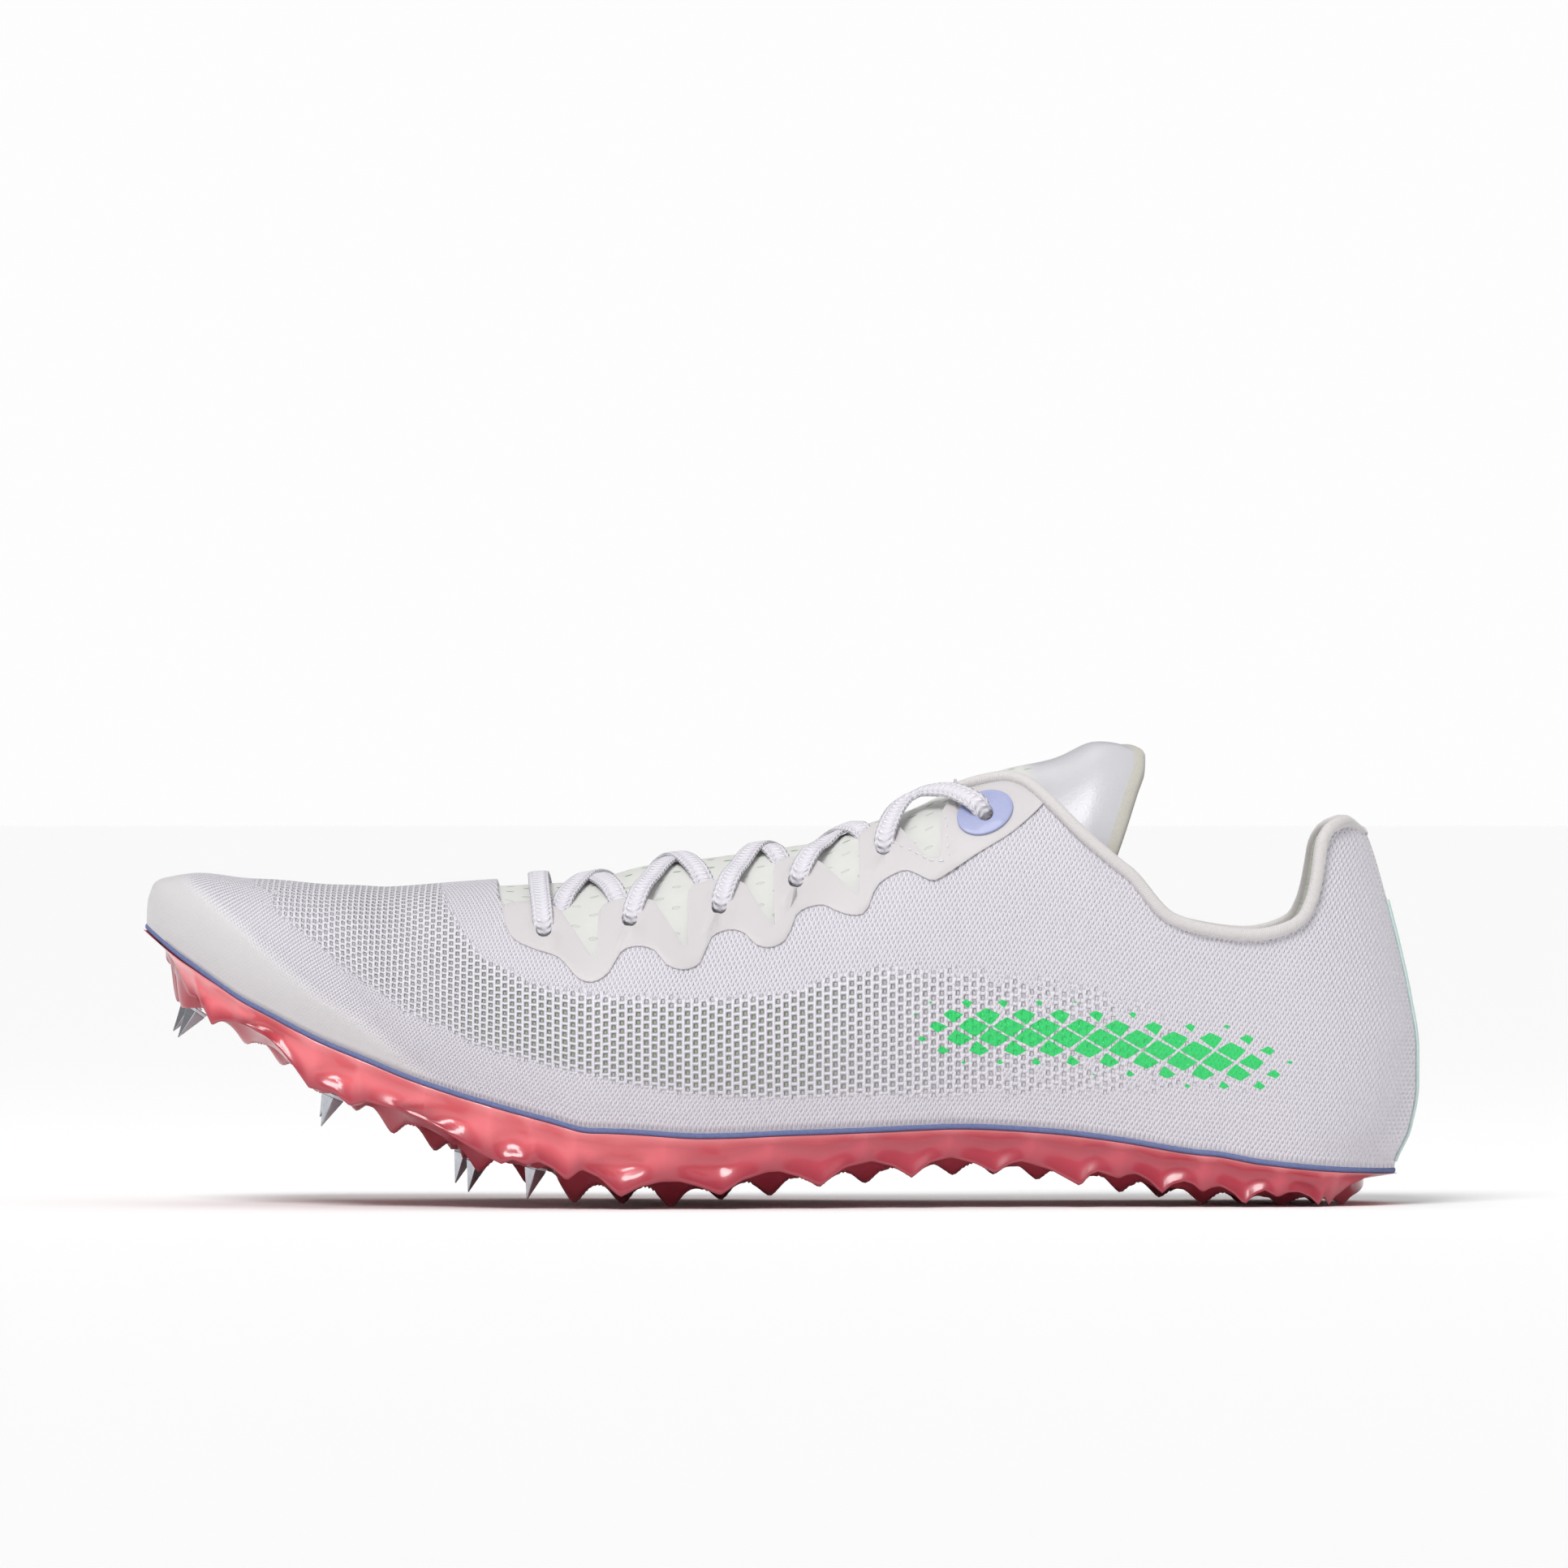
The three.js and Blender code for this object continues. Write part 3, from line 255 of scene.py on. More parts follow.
def formSteps(across, down):
    return formPlace(*sideView(across, down))


# Distance along the hem from the toe, so that columns stay even round both ends
hemWalk = []


def walkHem():
    samples = form["walkSamples"]
    total, last = 0.0, None
    for i in range(samples + 1):
        at = 0.5 - 0.5 * math.cos(math.pi * i / samples)
        point = formPoint(at, -1, 0)
        total += (point - last).length if last is not None else 0
        hemWalk.append((at, total))
        last = point


walkHem()
walkBack = [(distance, at) for at, distance in hemWalk]


def fromWalk(rows, value):
    i = clamp(bisect_right(rows, (value, 1e9)) - 1, 0, len(rows) - 2)
    (a0, b0), (a1, b1) = rows[int(i)], rows[int(i) + 1]
    return blend(b0, b1, clamp((value - a0) / max(1e-9, a1 - a0)))


def walkOf(at):
    return fromWalk(hemWalk, at)


def stationOf(distance):
    return fromWalk(walkBack, distance)


# Meshes

scene = bpy.context.scene


# A grid of columns by rows whose points are put in place; returns them by column and row
def layGrid(bm, columns, rows, place):
    made = bmesh.ops.create_grid(bm, x_segments=columns, y_segments=rows, size=0.5)["verts"]
    spots = {}
    for vert in made:
        i, j = round((vert.co.x + 0.5) * columns), round((vert.co.y + 0.5) * rows)
        spots[i, j] = vert
    for (i, j), vert in spots.items():
        vert.co = place(i, j)
    return spots


# A band of one cross-section, swept along frames of point and normal
def sweep(bm, frames, profile):
    count, around = len(frames), len(profile)

    def place(i, j):
        point, normal = frames[i]
        before, after = frames[max(0, i - 1)][0], frames[min(count - 1, i + 1)][0]
        along = (after - before).normalized()
        sideways = normal.cross(along).normalized()
        up = along.cross(sideways).normalized()
        wide, high = profile[j % around]
        return point + sideways * wide + up * high

    spots = layGrid(bm, count - 1, around, place)
    for end in (0, count - 1):
        bmesh.ops.contextual_create(bm, geom=[spots[end, j] for j in range(around)])
    return spots


def ovalProfile(width, height, steps, square=1.0):
    profile = []
    for k in range(steps):
        angle = 2 * math.pi * (k + 0.5) / steps
        c, s = math.cos(angle), math.sin(angle)
        profile.append((width / 2 * math.copysign(abs(c) ** square, c),
                        height / 2 * math.copysign(abs(s) ** square, s)))
    return profile


def weld(bm, distance=0.004):
    bmesh.ops.remove_doubles(bm, verts=bm.verts[:], dist=distance)
    bmesh.ops.recalc_face_normals(bm, faces=bm.faces[:])


def outward(bm, amount):
    bm.normal_update()
    moves = [(vert, vert.normal * amount) for vert in bm.verts]
    for vert, move in moves:
        vert.co += move


# Turn an open sheet so that it faces along the direction
def turnToward(bm, direction):
    bm.normal_update()
    if sum(face.normal.dot(Vector(direction)) * face.calc_area() for face in bm.faces) < 0:
        bmesh.ops.reverse_faces(bm, faces=bm.faces[:])


# Places on the cloth, in mm, as the weave map of the faces round the vertices
def writeChart(bm, chart):
    uv = bm.loops.layers.uv.get("weave") or bm.loops.layers.uv.new("weave")
    for face in {face for vert in chart for face in vert.link_faces}:
        for loop in face.loops:
            loop[uv].uv = chart[loop.vert]


bevelForm = {"segments": 2, "angle": 50}


def makePiece(name, bm, materials, nodes=(), thickness=None, inside=0, bevel=None):
    bmesh.ops.translate(bm, vec=(form["shiftX"], form["shiftY"], 0), verts=bm.verts[:])
    bmesh.ops.scale(bm, vec=(0.001, 0.001, 0.001), verts=bm.verts[:])
    mesh = bpy.data.meshes.new(name)
    bm.to_mesh(mesh)
    bm.free()
    mesh.shade_smooth()
    piece = bpy.data.objects.new(name, mesh)
    scene.collection.objects.link(piece)
    for material in materials:
        mesh.materials.append(material)
    if thickness:
        shell = piece.modifiers.new("wall", "SOLIDIFY")
        shell.thickness = thickness / 1000
        shell.offset = -1
        shell.material_offset = inside
        shell.material_offset_rim = 0
    if bevel:
        edge = piece.modifiers.new("edge", "BEVEL")
        edge.width = bevel / 1000
        edge.segments = bevelForm["segments"]
        edge.limit_method = "ANGLE"
        edge.angle_limit = math.radians(bevelForm["angle"])
    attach(piece, "root")
    if nodes:
        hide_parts(*nodes)
    return piece


# Materials

def tone(red, green, blue):
    def linear(value):
        value /= 255
        return value / 12.92 if value <= 0.04045 else ((value + 0.055) / 1.055) ** 2.4
    return linear(red), linear(green), linear(blue), 1.0


# A shader value that can be added, multiplied and compared in Python
class Value:
    def __init__(self, paint, socket):
        self.paint, self.socket = paint, socket

    def math(self, operation, *others, swapped=False):
        values = [self, *others]
        if swapped:
            values.reverse()
        return self.paint.add("ShaderNodeMath", {"operation": operation}, dict(enumerate(values)))

    def __add__(self, other):
        return self.math("ADD", other)

    def __radd__(self, other):
        return self.math("ADD", other)

    def __sub__(self, other):
        return self.math("SUBTRACT", other)

    def __rsub__(self, other):
        return self.math("SUBTRACT", other, swapped=True)

    def __mul__(self, other):
        return self.math("MULTIPLY", other)

    def __rmul__(self, other):
        return self.math("MULTIPLY", other)

    def __truediv__(self, other):
        return self.math("DIVIDE", other)

    def __lt__(self, other):
        return self.math("LESS_THAN", other)

    def ramp(self, low, high):
        return self.paint.add("ShaderNodeMapRange", {"interpolation_type": "SMOOTHSTEP"},
                              {"Value": self, "From Min": low, "From Max": high})

    # 1 at every whole number, 0 halfway between
    def wave(self):
        return (self * (2 * math.pi)).math("COSINE") * 0.5 + 0.5


class Nodes:
    def __init__(self, tree):
        self.tree = tree

    def add(self, kind, settings=None, values=None, out=0):
        node = self.tree.nodes.new(kind)
        for key, value in (settings or {}).items():
            setattr(node, key, value)
        for key, value in (values or {}).items():
            if isinstance(value, Value):
                self.tree.links.new(value.socket, node.inputs[key])
            else:
                node.inputs[key].default_value = value
        return Value(self, node.outputs[out])

    def split(self, vector):
        node = self.tree.nodes.new("ShaderNodeSeparateXYZ")
        self.tree.links.new(vector.socket, node.inputs[0])
        return [Value(self, node.outputs[k]) for k in range(3)]


class Paint(Nodes):
    def __init__(self, name, **constants):
        self.material = bpy.data.materials.new(name)
        self.material.use_nodes = True
        super().__init__(self.material.node_tree)
        self.shader = self.tree.nodes["Principled BSDF"]
        for key, value in constants.items():
            self.shader.inputs[key.replace("_", " ")].default_value = value

    def mix(self, share, first, second):
        return self.add("ShaderNodeMix", {"data_type": "RGBA"}, {0: share, 6: first, 7: second}, out=2)

    def place(self):
        return self.add("ShaderNodeTexCoord", out=3)

    # Place on the cloth in mm: along it and across it
    def weave(self):
        return self.split(self.add("ShaderNodeUVMap", {"uv_map": "weave"}))[:2]

    def join(self, x, y, z=0.0):
        return self.add("ShaderNodeCombineXYZ", None, {0: x, 1: y, 2: z})

    def attribute(self, name):
        return self.add("ShaderNodeAttribute", {"attribute_name": name}, out=2)

    def noise(self, vector, scale, detail=2.0, rough=0.5):
        return self.add("ShaderNodeTexNoise", None,
                        {"Vector": vector, "Scale": scale, "Detail": detail, "Roughness": rough})

    def set(self, **links):
        for key, value in links.items():
            self.tree.links.new(value.socket, self.shader.inputs[key.replace("_", " ")])

    def bump(self, height, strength, distance):
        normal = self.add("ShaderNodeBump", None,
                          {"Height": height, "Strength": strength, "Distance": distance})
        self.tree.links.new(normal.socket, self.shader.inputs["Normal"])


cloth = {
    # shade is painted shade between the twill stitches and the mesh threads; hole is partly the colour under
    # the mesh and partly painted shade inside its holes
    "white": (238, 235, 241), "shade": (190, 184, 197), "hole": (146, 158, 134), "film": (199, 196, 197),
    "green": (0, 205, 100),
    "stitchU": 1.05, "stitchV": 1.5, "lean": 0.22,      # twill stitch, mm along and across, and its slant
    "meshU": 1.8, "meshV": 1.5,                         # open mesh pitch
    "wobbleScale": 260.0, "wobble": 0.5, "yarnShare": 0.3, "rowShare": 0.2,
    "patchScale": 0.3, "patch": 1.2, "chance": 0.35, "present": 1.8,
    "pitU": (0.38, 0.85), "pitV": (0.25, 0.75), "bundle": 1.3, "bar": 1.6, "barHeight": 0.9,
    "holeFade": (0.05, 0.85), "looseFade": (0.2, 0.95), "holeTone": (0.25, 1.1),
    "grainScale": 2600.0, "grain": 0.1, "bump": 1.0, "bumpDepth": 0.0007,
    "lozenge": 6.4, "lozengeAxes": ((0.8, 1.4), (0.8, -1.0)),
}


def makeClothPaint():
    paint = Paint("wovenCloth", Sheen_Weight=0.15, Sheen_Roughness=0.4)
    u, v = paint.weave()
    opening, cover = paint.attribute("open"), paint.attribute("cover")
    wobble = (paint.noise(paint.place(), cloth["wobbleScale"]) - 0.5) * cloth["wobble"]
    yarn = wobble * cloth["yarnShare"]
    along, over = (u + v * cloth["lean"]) / cloth["stitchU"], v / cloth["stitchV"]
    fine = (along + over + yarn).wave() * (along - over + yarn).wave()
    meshU = u / cloth["meshU"] + yarn
    column = (meshU + 0.5).math("FLOOR")
    stagger = (column * 0.5).math("FRACT")
    meshV = v / cloth["meshV"] + wobble * cloth["rowShare"] + stagger
    cell = paint.join(column, (meshV + 0.5).math("FLOOR"))
    chance = paint.add("ShaderNodeTexWhiteNoise", {"noise_dimensions": "2D"}, {"Vector": cell})
    patch = paint.noise(cell, cloth["patchScale"])
    present = (chance * cloth["chance"] + patch * cloth["patch"]) < (opening * cloth["present"])
    pit = meshU.wave().ramp(*cloth["pitU"]) * meshV.wave().ramp(*cloth["pitV"])
    hole = pit * present * opening.ramp(*cloth["holeFade"])
    bundle = (meshU + 0.5).wave().math("POWER", cloth["bundle"])
    bar = (meshV + 0.5).wave().math("POWER", cloth["bar"]) * cloth["barHeight"]
    thread = bundle.math("MAXIMUM", bar)
    bare = 1 - cover
    loose = opening.ramp(*cloth["looseFade"]) * present
    height = fine * (1 - loose) * 0.6 + thread * loose * 0.9 - hole * 0.8
    # Painted shade: darker between the twill stitches and between the threads of the open mesh, and the open
    # mesh a little darker overall
    weaveShade = ((1 - fine) * (1 - loose) * 0.5 + ((1 - thread) * 0.7 + 0.22) * loose) * (bare * 0.93 + 0.07)
    color = paint.mix(weaveShade, tone(*cloth["white"]), tone(*cloth["shade"]))
    color = paint.mix(cover * 0.9, color, tone(*cloth["film"]))
    # Holes of the open mesh: greenish grey, partly the colour under the mesh and partly painted shade inside
    # the holes
    color = paint.mix(hole * bare * opening.ramp(*cloth["holeTone"]), color, tone(*cloth["hole"]))
    green = printMask(paint)
    color = paint.mix(green * 0.96, color, tone(*cloth["green"]))
    grain = paint.noise(paint.place(), cloth["grainScale"]) * cloth["grain"]
    paint.bump(height * (bare * 0.92 + 0.08) * (1 - green * 0.6) + grain, cloth["bump"], cloth["bumpDepth"])
    paint.set(Base_Color=color, Roughness=0.54 - fine * bare * 0.16 - green * 0.2)
    return paint.material


# Small lozenges in slanted rows, in the plane of the side view
def printMask(paint):
    x, _, z = paint.split(paint.place())
    pitch = cloth["lozenge"] / 1000
    offsets = [(x * along + z * up) / pitch for along, up in cloth["lozengeAxes"]]
    near, across = [((offset + 0.5).math("FRACT") - 0.5).math("ABSOLUTE") for offset in offsets]
    return near.math("MAXIMUM", across) < (paint.attribute("print") * 0.5 - 0.05)


lining = {"light": (224, 224, 214), "dark": (200, 204, 190), "scale": 900.0}


def makeLiningPaint():
    paint = Paint("lining", Roughness=0.85, Sheen_Weight=0.2)
    place = paint.place()
    x, _, z = paint.split(place)
    fine = (x * lining["scale"]).wave() * (z * lining["scale"]).wave()
    paint.bump(fine * 0.5 + paint.noise(place, lining["scale"]) * 0.4, 0.4, 0.0003)
    paint.set(Base_Color=paint.mix(fine * 0.3, tone(*lining["light"]), tone(*lining["dark"])))
    return paint.material


filmLook = {"light": (201, 197, 198), "dark": (191, 187, 189), "grainScale": 2200.0, "cloudScale": 60.0}


def makeFilmPaint():
    paint = Paint("film", Roughness=0.5, Sheen_Weight=0.1)
    grain = paint.noise(paint.place(), filmLook["grainScale"])
    soft = paint.noise(paint.place(), filmLook["cloudScale"])
    paint.bump(grain, 0.12, 0.0002)
    paint.set(Base_Color=paint.mix(soft * 0.4, tone(*filmLook["light"]), tone(*filmLook["dark"])),
              Roughness=grain * 0.15 + 0.42)
    return paint.material


coral = {
    # front and rear: the toe lighter as painted light, the rear darker as painted shade; low: painted shade
    # colour; rim: painted highlight colour
    "front": (238, 112, 120), "rear": (190, 58, 78), "low": (146, 24, 50), "cloud": (240, 128, 134),
    "rim": (250, 150, 152), "turn": (-0.075, 0.03),    # where front turns into rear, in metres
    "cloudScale": 45.0, "waveScale": 420.0,
}


def makeCoralPaint():
    paint = Paint("coral", Coat_Weight=0.6, Coat_Roughness=0.12, Subsurface_Weight=0.1,
                  Subsurface_Radius=(0.004, 0.0015, 0.001), Subsurface_Scale=1.0)
    place = paint.place()
    x, _, _ = paint.split(place)
    cloudy = paint.noise(place, coral["cloudScale"], 3.0)
    # Painted light and shade: lighter toward the toe, darker toward the heel
    color = paint.mix(x.ramp(*coral["turn"]), tone(*coral["front"]), tone(*coral["rear"]))
    # Painted shade: the plate darker down its wall, under it and in its hollows, by the deep attribute
    color = paint.mix(paint.attribute("deep"), color, tone(*coral["low"]))
    color = paint.mix(cloudy * 0.2, color, tone(*coral["cloud"]))
    # Painted highlight along the top lip of the plate, by the rim attribute
    color = paint.mix(paint.attribute("rim") * 0.45, color, tone(*coral["rim"]))
    paint.bump(paint.noise(place, coral["waveScale"]), 0.04, 0.0004)
    paint.set(Base_Color=color, Roughness=cloudy * 0.1 + 0.26)
    return paint.material


slate = {"dark": (84, 96, 140), "light": (114, 126, 170), "scale": 1500.0}


def makeSlatePaint():
    paint = Paint("slateBoard", Roughness=0.8)
    speck = paint.noise(paint.place(), slate["scale"], 3.0)
    paint.bump(speck, 0.4, 0.0002)
    paint.set(Base_Color=paint.mix(speck, tone(*slate["dark"]), tone(*slate["light"])))
    return paint.material


tongueLook = {
    "light": (213, 213, 210), "dark": (198, 199, 195), "satin": (192, 191, 196), "hole": (86, 138, 78),
    "row": 5.2, "pitch": 7.4, "round": (0.84, 0.9),    # rows and pitch of the pinholes, mm
    "middle": (12.0, 28.0),                            # half width over which they fade out
    "cloudScale": 130.0, "grainScale": 1800.0,
}


def makeTonguePaint():
    paint = Paint("tongueCloth", Sheen_Weight=0.1)
    u, v = paint.weave()
    satin = paint.attribute("satin")
    row = v / tongueLook["row"]
    odd = (row.math("FLOOR") * 0.5).math("FRACT")
    grid = (u / tongueLook["pitch"] + odd).wave() * (row + 0.5).wave()
    hole = grid.ramp(*tongueLook["round"]) * (1 - satin)
    soft = paint.noise(paint.place(), tongueLook["cloudScale"])
    color = paint.mix(soft * 0.6, tone(*tongueLook["light"]), tone(*tongueLook["dark"]))
    color = paint.mix(satin, color, tone(*tongueLook["satin"]))
    middle = 1 - v.math("ABSOLUTE").ramp(*tongueLook["middle"])
    # Pinholes: green, partly the colour under the tongue's face and partly painted shade inside the holes
    color = paint.mix(hole * (middle * 0.8 + 0.12), color, tone(*tongueLook["hole"]))
    grain = paint.noise(paint.place(), tongueLook["grainScale"])
    paint.bump(soft * 0.6 + grain * 0.2 - hole * 2.0, 0.5, 0.0005)
    paint.set(Base_Color=color, Roughness=0.66 - satin * 0.36)
    return paint.material


# dark is painted shade between the braid's strands
laceLook = {"light": (242, 240, 245), "dark": (184, 179, 193), "strand": 1.15, "slant": 1.5}


def makeLacePaint():
    paint = Paint("lace", Roughness=0.7, Sheen_Weight=0.2)
    u, v = paint.weave()
    across = v / laceLook["strand"]
    strand = across.math("FLOOR")
    turn = (strand * 0.5).math("FRACT") * 4.0 - 1.0
    slant = (u / laceLook["slant"] + across.math("FRACT") * turn * 0.55 + strand * 0.37).wave()
    braid = slant * (1 - across.wave() * 0.8)
    paint.bump(braid, 0.8, 0.0007)
    # Painted shade: darker between the strands of the braid
    paint.set(Base_Color=paint.mix((1 - braid) * 0.5, tone(*laceLook["light"]), tone(*laceLook["dark"])))
    return paint.material


rib = {"along": 0.5, "over": 1.5, "grainScale": 1500.0}


def makeBindingPaint(name, light, dark):
    paint = Paint(name, Roughness=0.8, Sheen_Weight=0.25)
    u, v = paint.weave()
    ribs = (u / rib["along"] + v / rib["over"]).wave()
    paint.bump(ribs * 0.6 + paint.noise(paint.place(), rib["grainScale"]) * 0.4, 0.35, 0.0003)
    paint.set(Base_Color=paint.mix(ribs * 0.5, tone(*light), tone(*dark)))
    return paint.material


def makePlainPaint(name, light, dark, rough, scale, bumpSize, **constants):
    paint = Paint(name, **constants)
    grain = paint.noise(paint.place(), scale, 3.0)
    paint.bump(grain, 0.3, bumpSize)
    paint.set(Base_Color=paint.mix(grain, tone(*light), tone(*dark)), Roughness=grain * 0.15 + rough)
    return paint.material


paints = {
    "cloth": makeClothPaint(),
    "lining": makeLiningPaint(),
    "film": makeFilmPaint(),
    "coral": makeCoralPaint(),
    "slate": makeSlatePaint(),
    "tongue": makeTonguePaint(),
    "lace": makeLacePaint(),
    "binding": makeBindingPaint("binding", (213, 209, 209), (190, 185, 185)),
    "tongueBinding": makeBindingPaint("tongueBinding", (190, 187, 178), (168, 165, 156)),
    "washer": makePlainPaint("washer", (158, 164, 202), (150, 156, 195), 0.4, 900.0, 0.0001,
                             Coat_Weight=0.15),
    "mint": makePlainPaint("mintTape", (212, 230, 226), (198, 222, 217), 0.5, 1400.0, 0.0001),
    "steel": makePlainPaint("steel", (206, 209, 214), (178, 181, 188), 0.12, 700.0, 0.00004,
                            Metallic=1.0),
    "insole": makePlainPaint("insoleCloth", (222, 224, 214), (196, 200, 188), 0.8, 1200.0, 0.0002),
    "thread": makePlainPaint("thread", (236, 234, 238), (212, 210, 216), 0.7, 3000.0, 0.0001),
}
print("materials ready")


# Edges of the upper in side view steps

upper = {
    "spacing": 1.25, "rows": 62, "edgeStep": 0.5, "hole": 1.9,
    "leastStep": 0.45, "leastRise": 0.02, "footStep": 0.05, "footTurns": 30,
    "hemBand": 0.35, "hemDrop": 0.8, "cutMargin": 1.6,
    "throatEnd": (1178, 970),
    "throat": [(600, 1010), (612, 1083), (621, 1116), (634, 1112), (651, 1111), (676, 1113),
               (693, 1122), (733, 1178), (739, 1178), (740, 1124), (746, 1115), (760, 1109),
               (790, 1105), (808, 1110), (843, 1163), (849, 1163), (849, 1098), (855, 1090),
               (876, 1085), (908, 1084), (920, 1090), (949, 1138), (955, 1138), (954, 1070),
               (960, 1060), (980, 1056), (1004, 1058), (1016, 1066), (1052, 1099), (1059, 1099),
               (1058, 1036), (1062, 1025), (1076, 1019), (1098, 1017), (1110, 1021), (1140, 1056),
               (1157, 1056), (1160, 1001), (1176, 978), (1178, 930)],
    "collar": [(1175, 967), (1205, 957), (1239, 951), (1262, 956), (1280, 967), (1305, 990),
               (1338, 1023), (1376, 1056), (1400, 1076), (1433, 1116), (1457, 1129), (1483, 1136),
               (1523, 1142), (1556, 1141), (1589, 1129), (1602, 1109), (1608, 1088), (1612, 1066),
               (1616, 1040), (1622, 1025), (1632, 1013), (1652, 1005), (1665, 1007), (1677, 1013),
               (1700, 1027)],
    "scallops": [(619, 1110), (622, 1128), (635, 1154), (660, 1167), (692, 1178), (715, 1202),
                 (734, 1207), (753, 1196), (769, 1170), (791, 1164), (810, 1170), (823, 1186),
                 (844, 1192), (865, 1183), (877, 1154), (900, 1144), (919, 1149), (932, 1162),
                 (951, 1165), (970, 1154), (983, 1124), (1011, 1114), (1030, 1121), (1048, 1126),
                 (1066, 1122), (1081, 1090), (1109, 1073), (1124, 1074), (1147, 1084), (1165, 1076),
                 (1203, 1051), (1241, 1028), (1269, 1005), (1292, 982)],
    "eyelets": [(673, 1144), (778, 1131), (887, 1116), (981, 1084), (1088, 1044)],
    "topEyelet": (1213, 1003),
    "bindingHeight": 2.8,
}

# Height band of the open mesh, and how open it is
openBand = Table(
    "at top bottom share",
    (300, 1000, 1092, 0), (316, 1000, 1106, .5), (396, 1000, 1169, .62), (470, 1000, 1225, .7),
    (520, 1030, 1256, .68), (556, 1110, 1271, .74), (600, 1170, 1288, .86), (700, 1216, 1314, 1),
    (850, 1226, 1343, 1), (960, 1218, 1350, .95), (1012, 1200, 1350, .85), (1084, 1184, 1352, .72),
    (1200, 1186, 1352, .6), (1330, 1200, 1352, .5), (1460, 1250, 1352, .42), (1600, 1320, 1362, .3),
    (1640, 1350, 1368, 0))

coverEdge = [(170, 1020), (239, 1082), (300, 1131), (331, 1162), (392, 1211), (443, 1243), (484, 1274),
             (545, 1325), (600, 1362), (660, 1390), (1900, 1500)]

printBand = {"start": 1085, "end": 1625, "fade": 120, "rise": 112, "reach": 50}
fades = {"openTop": (-24, 26), "openBottom": (18, -20), "cover": (-6, 22)}


def collarCentre(shift):
    line = smoothLine(sidePoints(upper["collar"]), upper["edgeStep"])
    places = []
    for i, spot in enumerate(line):
        way = (line[min(len(line) - 1, i + 1)] - line[max(0, i - 1)]).normalized()
        moved = spot + Vector((way.y, -way.x)) * shift
        places.append(formPlace(moved.x, moved.y))
        if places[-1][0] >= 1:
            break
    return places


# Columns of the upper: place along the hem at the foot, and place along and height at the head
def upperColumns():
    step = upper["spacing"]
    end = walkOf(formSteps(*upper["throatEnd"])[0])
    count = round(end / step)
    heads = [(end * i / count, 1.0) for i in range(count + 1)]
    edge = collarCentre(upper["bindingHeight"] / 2)
    start = next(i for i, (at, _) in enumerate(edge) if walkOf(at) > end)
    edge = [(stationOf(end), edge[start][1]), *edge[start:]]
    for (at0, high0), (at1, high1) in zip(edge, edge[1:]):
        walk0, walk1 = walkOf(at0), walkOf(at1)
        pieces = max(1, math.ceil(abs(walk1 - walk0) / step))
        for k in range(1, pieces + 1):
            heads.append((blend(walk0, walk1, k / pieces), blend(high0, high1, k / pieces)))
    thinned = [heads[0]]
    for head in heads[1:-1]:
        walked, risen = abs(head[0] - thinned[-1][0]), abs(head[1] - thinned[-1][1])
        if walked > upper["leastStep"] * step or risen > upper["leastRise"]:
            thinned.append(head)
    thinned.append(heads[-1])
    feet = []
    for walk, _ in thinned:
        feet.append(max(walk, feet[-1] + upper["footStep"]) if feet else walk)
    feet[-1] = hemWalk[-1][1]
    feet = [min(foot, feet[-1]) for foot in feet]
    for _ in range(upper["footTurns"]):
        feet = [feet[0]] + [(a + 2 * b + c) / 4 for a, b, c in zip(feet, feet[1:], feet[2:])] + [feet[-1]]
    return [(foot, walk, high) for foot, (walk, high) in zip(feet, thinned)]


def insideOutline(outline, x, z):
    inside = False
    for first, second in zip(outline, [*outline[1:], outline[0]]):
        if (first.y > z) != (second.y > z):
            inside ^= x < blend(first.x, second.x, (z - first.y) / (second.y - first.y))
    return inside


# Cut the throat with its notches out of a skin, along straight cuts square to the side view
def cutThroat(bm):
    outline = sidePoints(upper["throat"])
    margin = upper["spacing"] * upper["cutMargin"]
    for first, second in zip(outline, outline[1:]):
        low = Vector((min(first.x, second.x) - margin, min(first.y, second.y) - margin))
        high = Vector((max(first.x, second.x) + margin, max(first.y, second.y) + margin))
        faces = []
        for face in bm.faces:
            middle = face.calc_center_median()
            if low.x < middle.x < high.x and low.y < middle.z < high.y:
                faces.append(face)
        edges = {edge for face in faces for edge in face.edges}
        verts = {vert for face in faces for vert in face.verts}
        way = (second - first).normalized()
        bmesh.ops.bisect_plane(bm, geom=[*faces, *edges, *verts], dist=0.001,
                               plane_co=(first.x, 0, first.y), plane_no=(-way.y, 0, way.x))
    middles = [(face, face.calc_center_median()) for face in bm.faces]
    gone = [face for face, middle in middles if insideOutline(outline, middle.x, middle.z)]
    bmesh.ops.delete(bm, geom=gone, context="FACES")


columns = upperColumns()
print("upper columns", len(columns))


# Soft troughs and ridges of the worn-in cloth: ends in side view steps, width, depth in mm
creases = [
    ((392, 1150), (470, 1262), 17, 1.3), ((428, 1130), (520, 1282), 20, -0.9),
    ((560, 1190), (660, 1262), 22, 0.9), ((470, 1110), (560, 1170), 20, 0.8),
    ((700, 1250), (790, 1330), 30, 0.7), ((1290, 1020), (1400, 1130), 24, 0.7),
    ((1330, 1010), (1440, 1135), 22, -0.5), ((1180, 1080), (1330, 1180), 34, 0.6),
    ((1560, 1190), (1600, 1330), 34, 0.3), ((860, 1205), (1010, 1190), 22, 0.25),
]
creaseForm = {"reach": 3, "ends": 0.35, "near": 0.08}


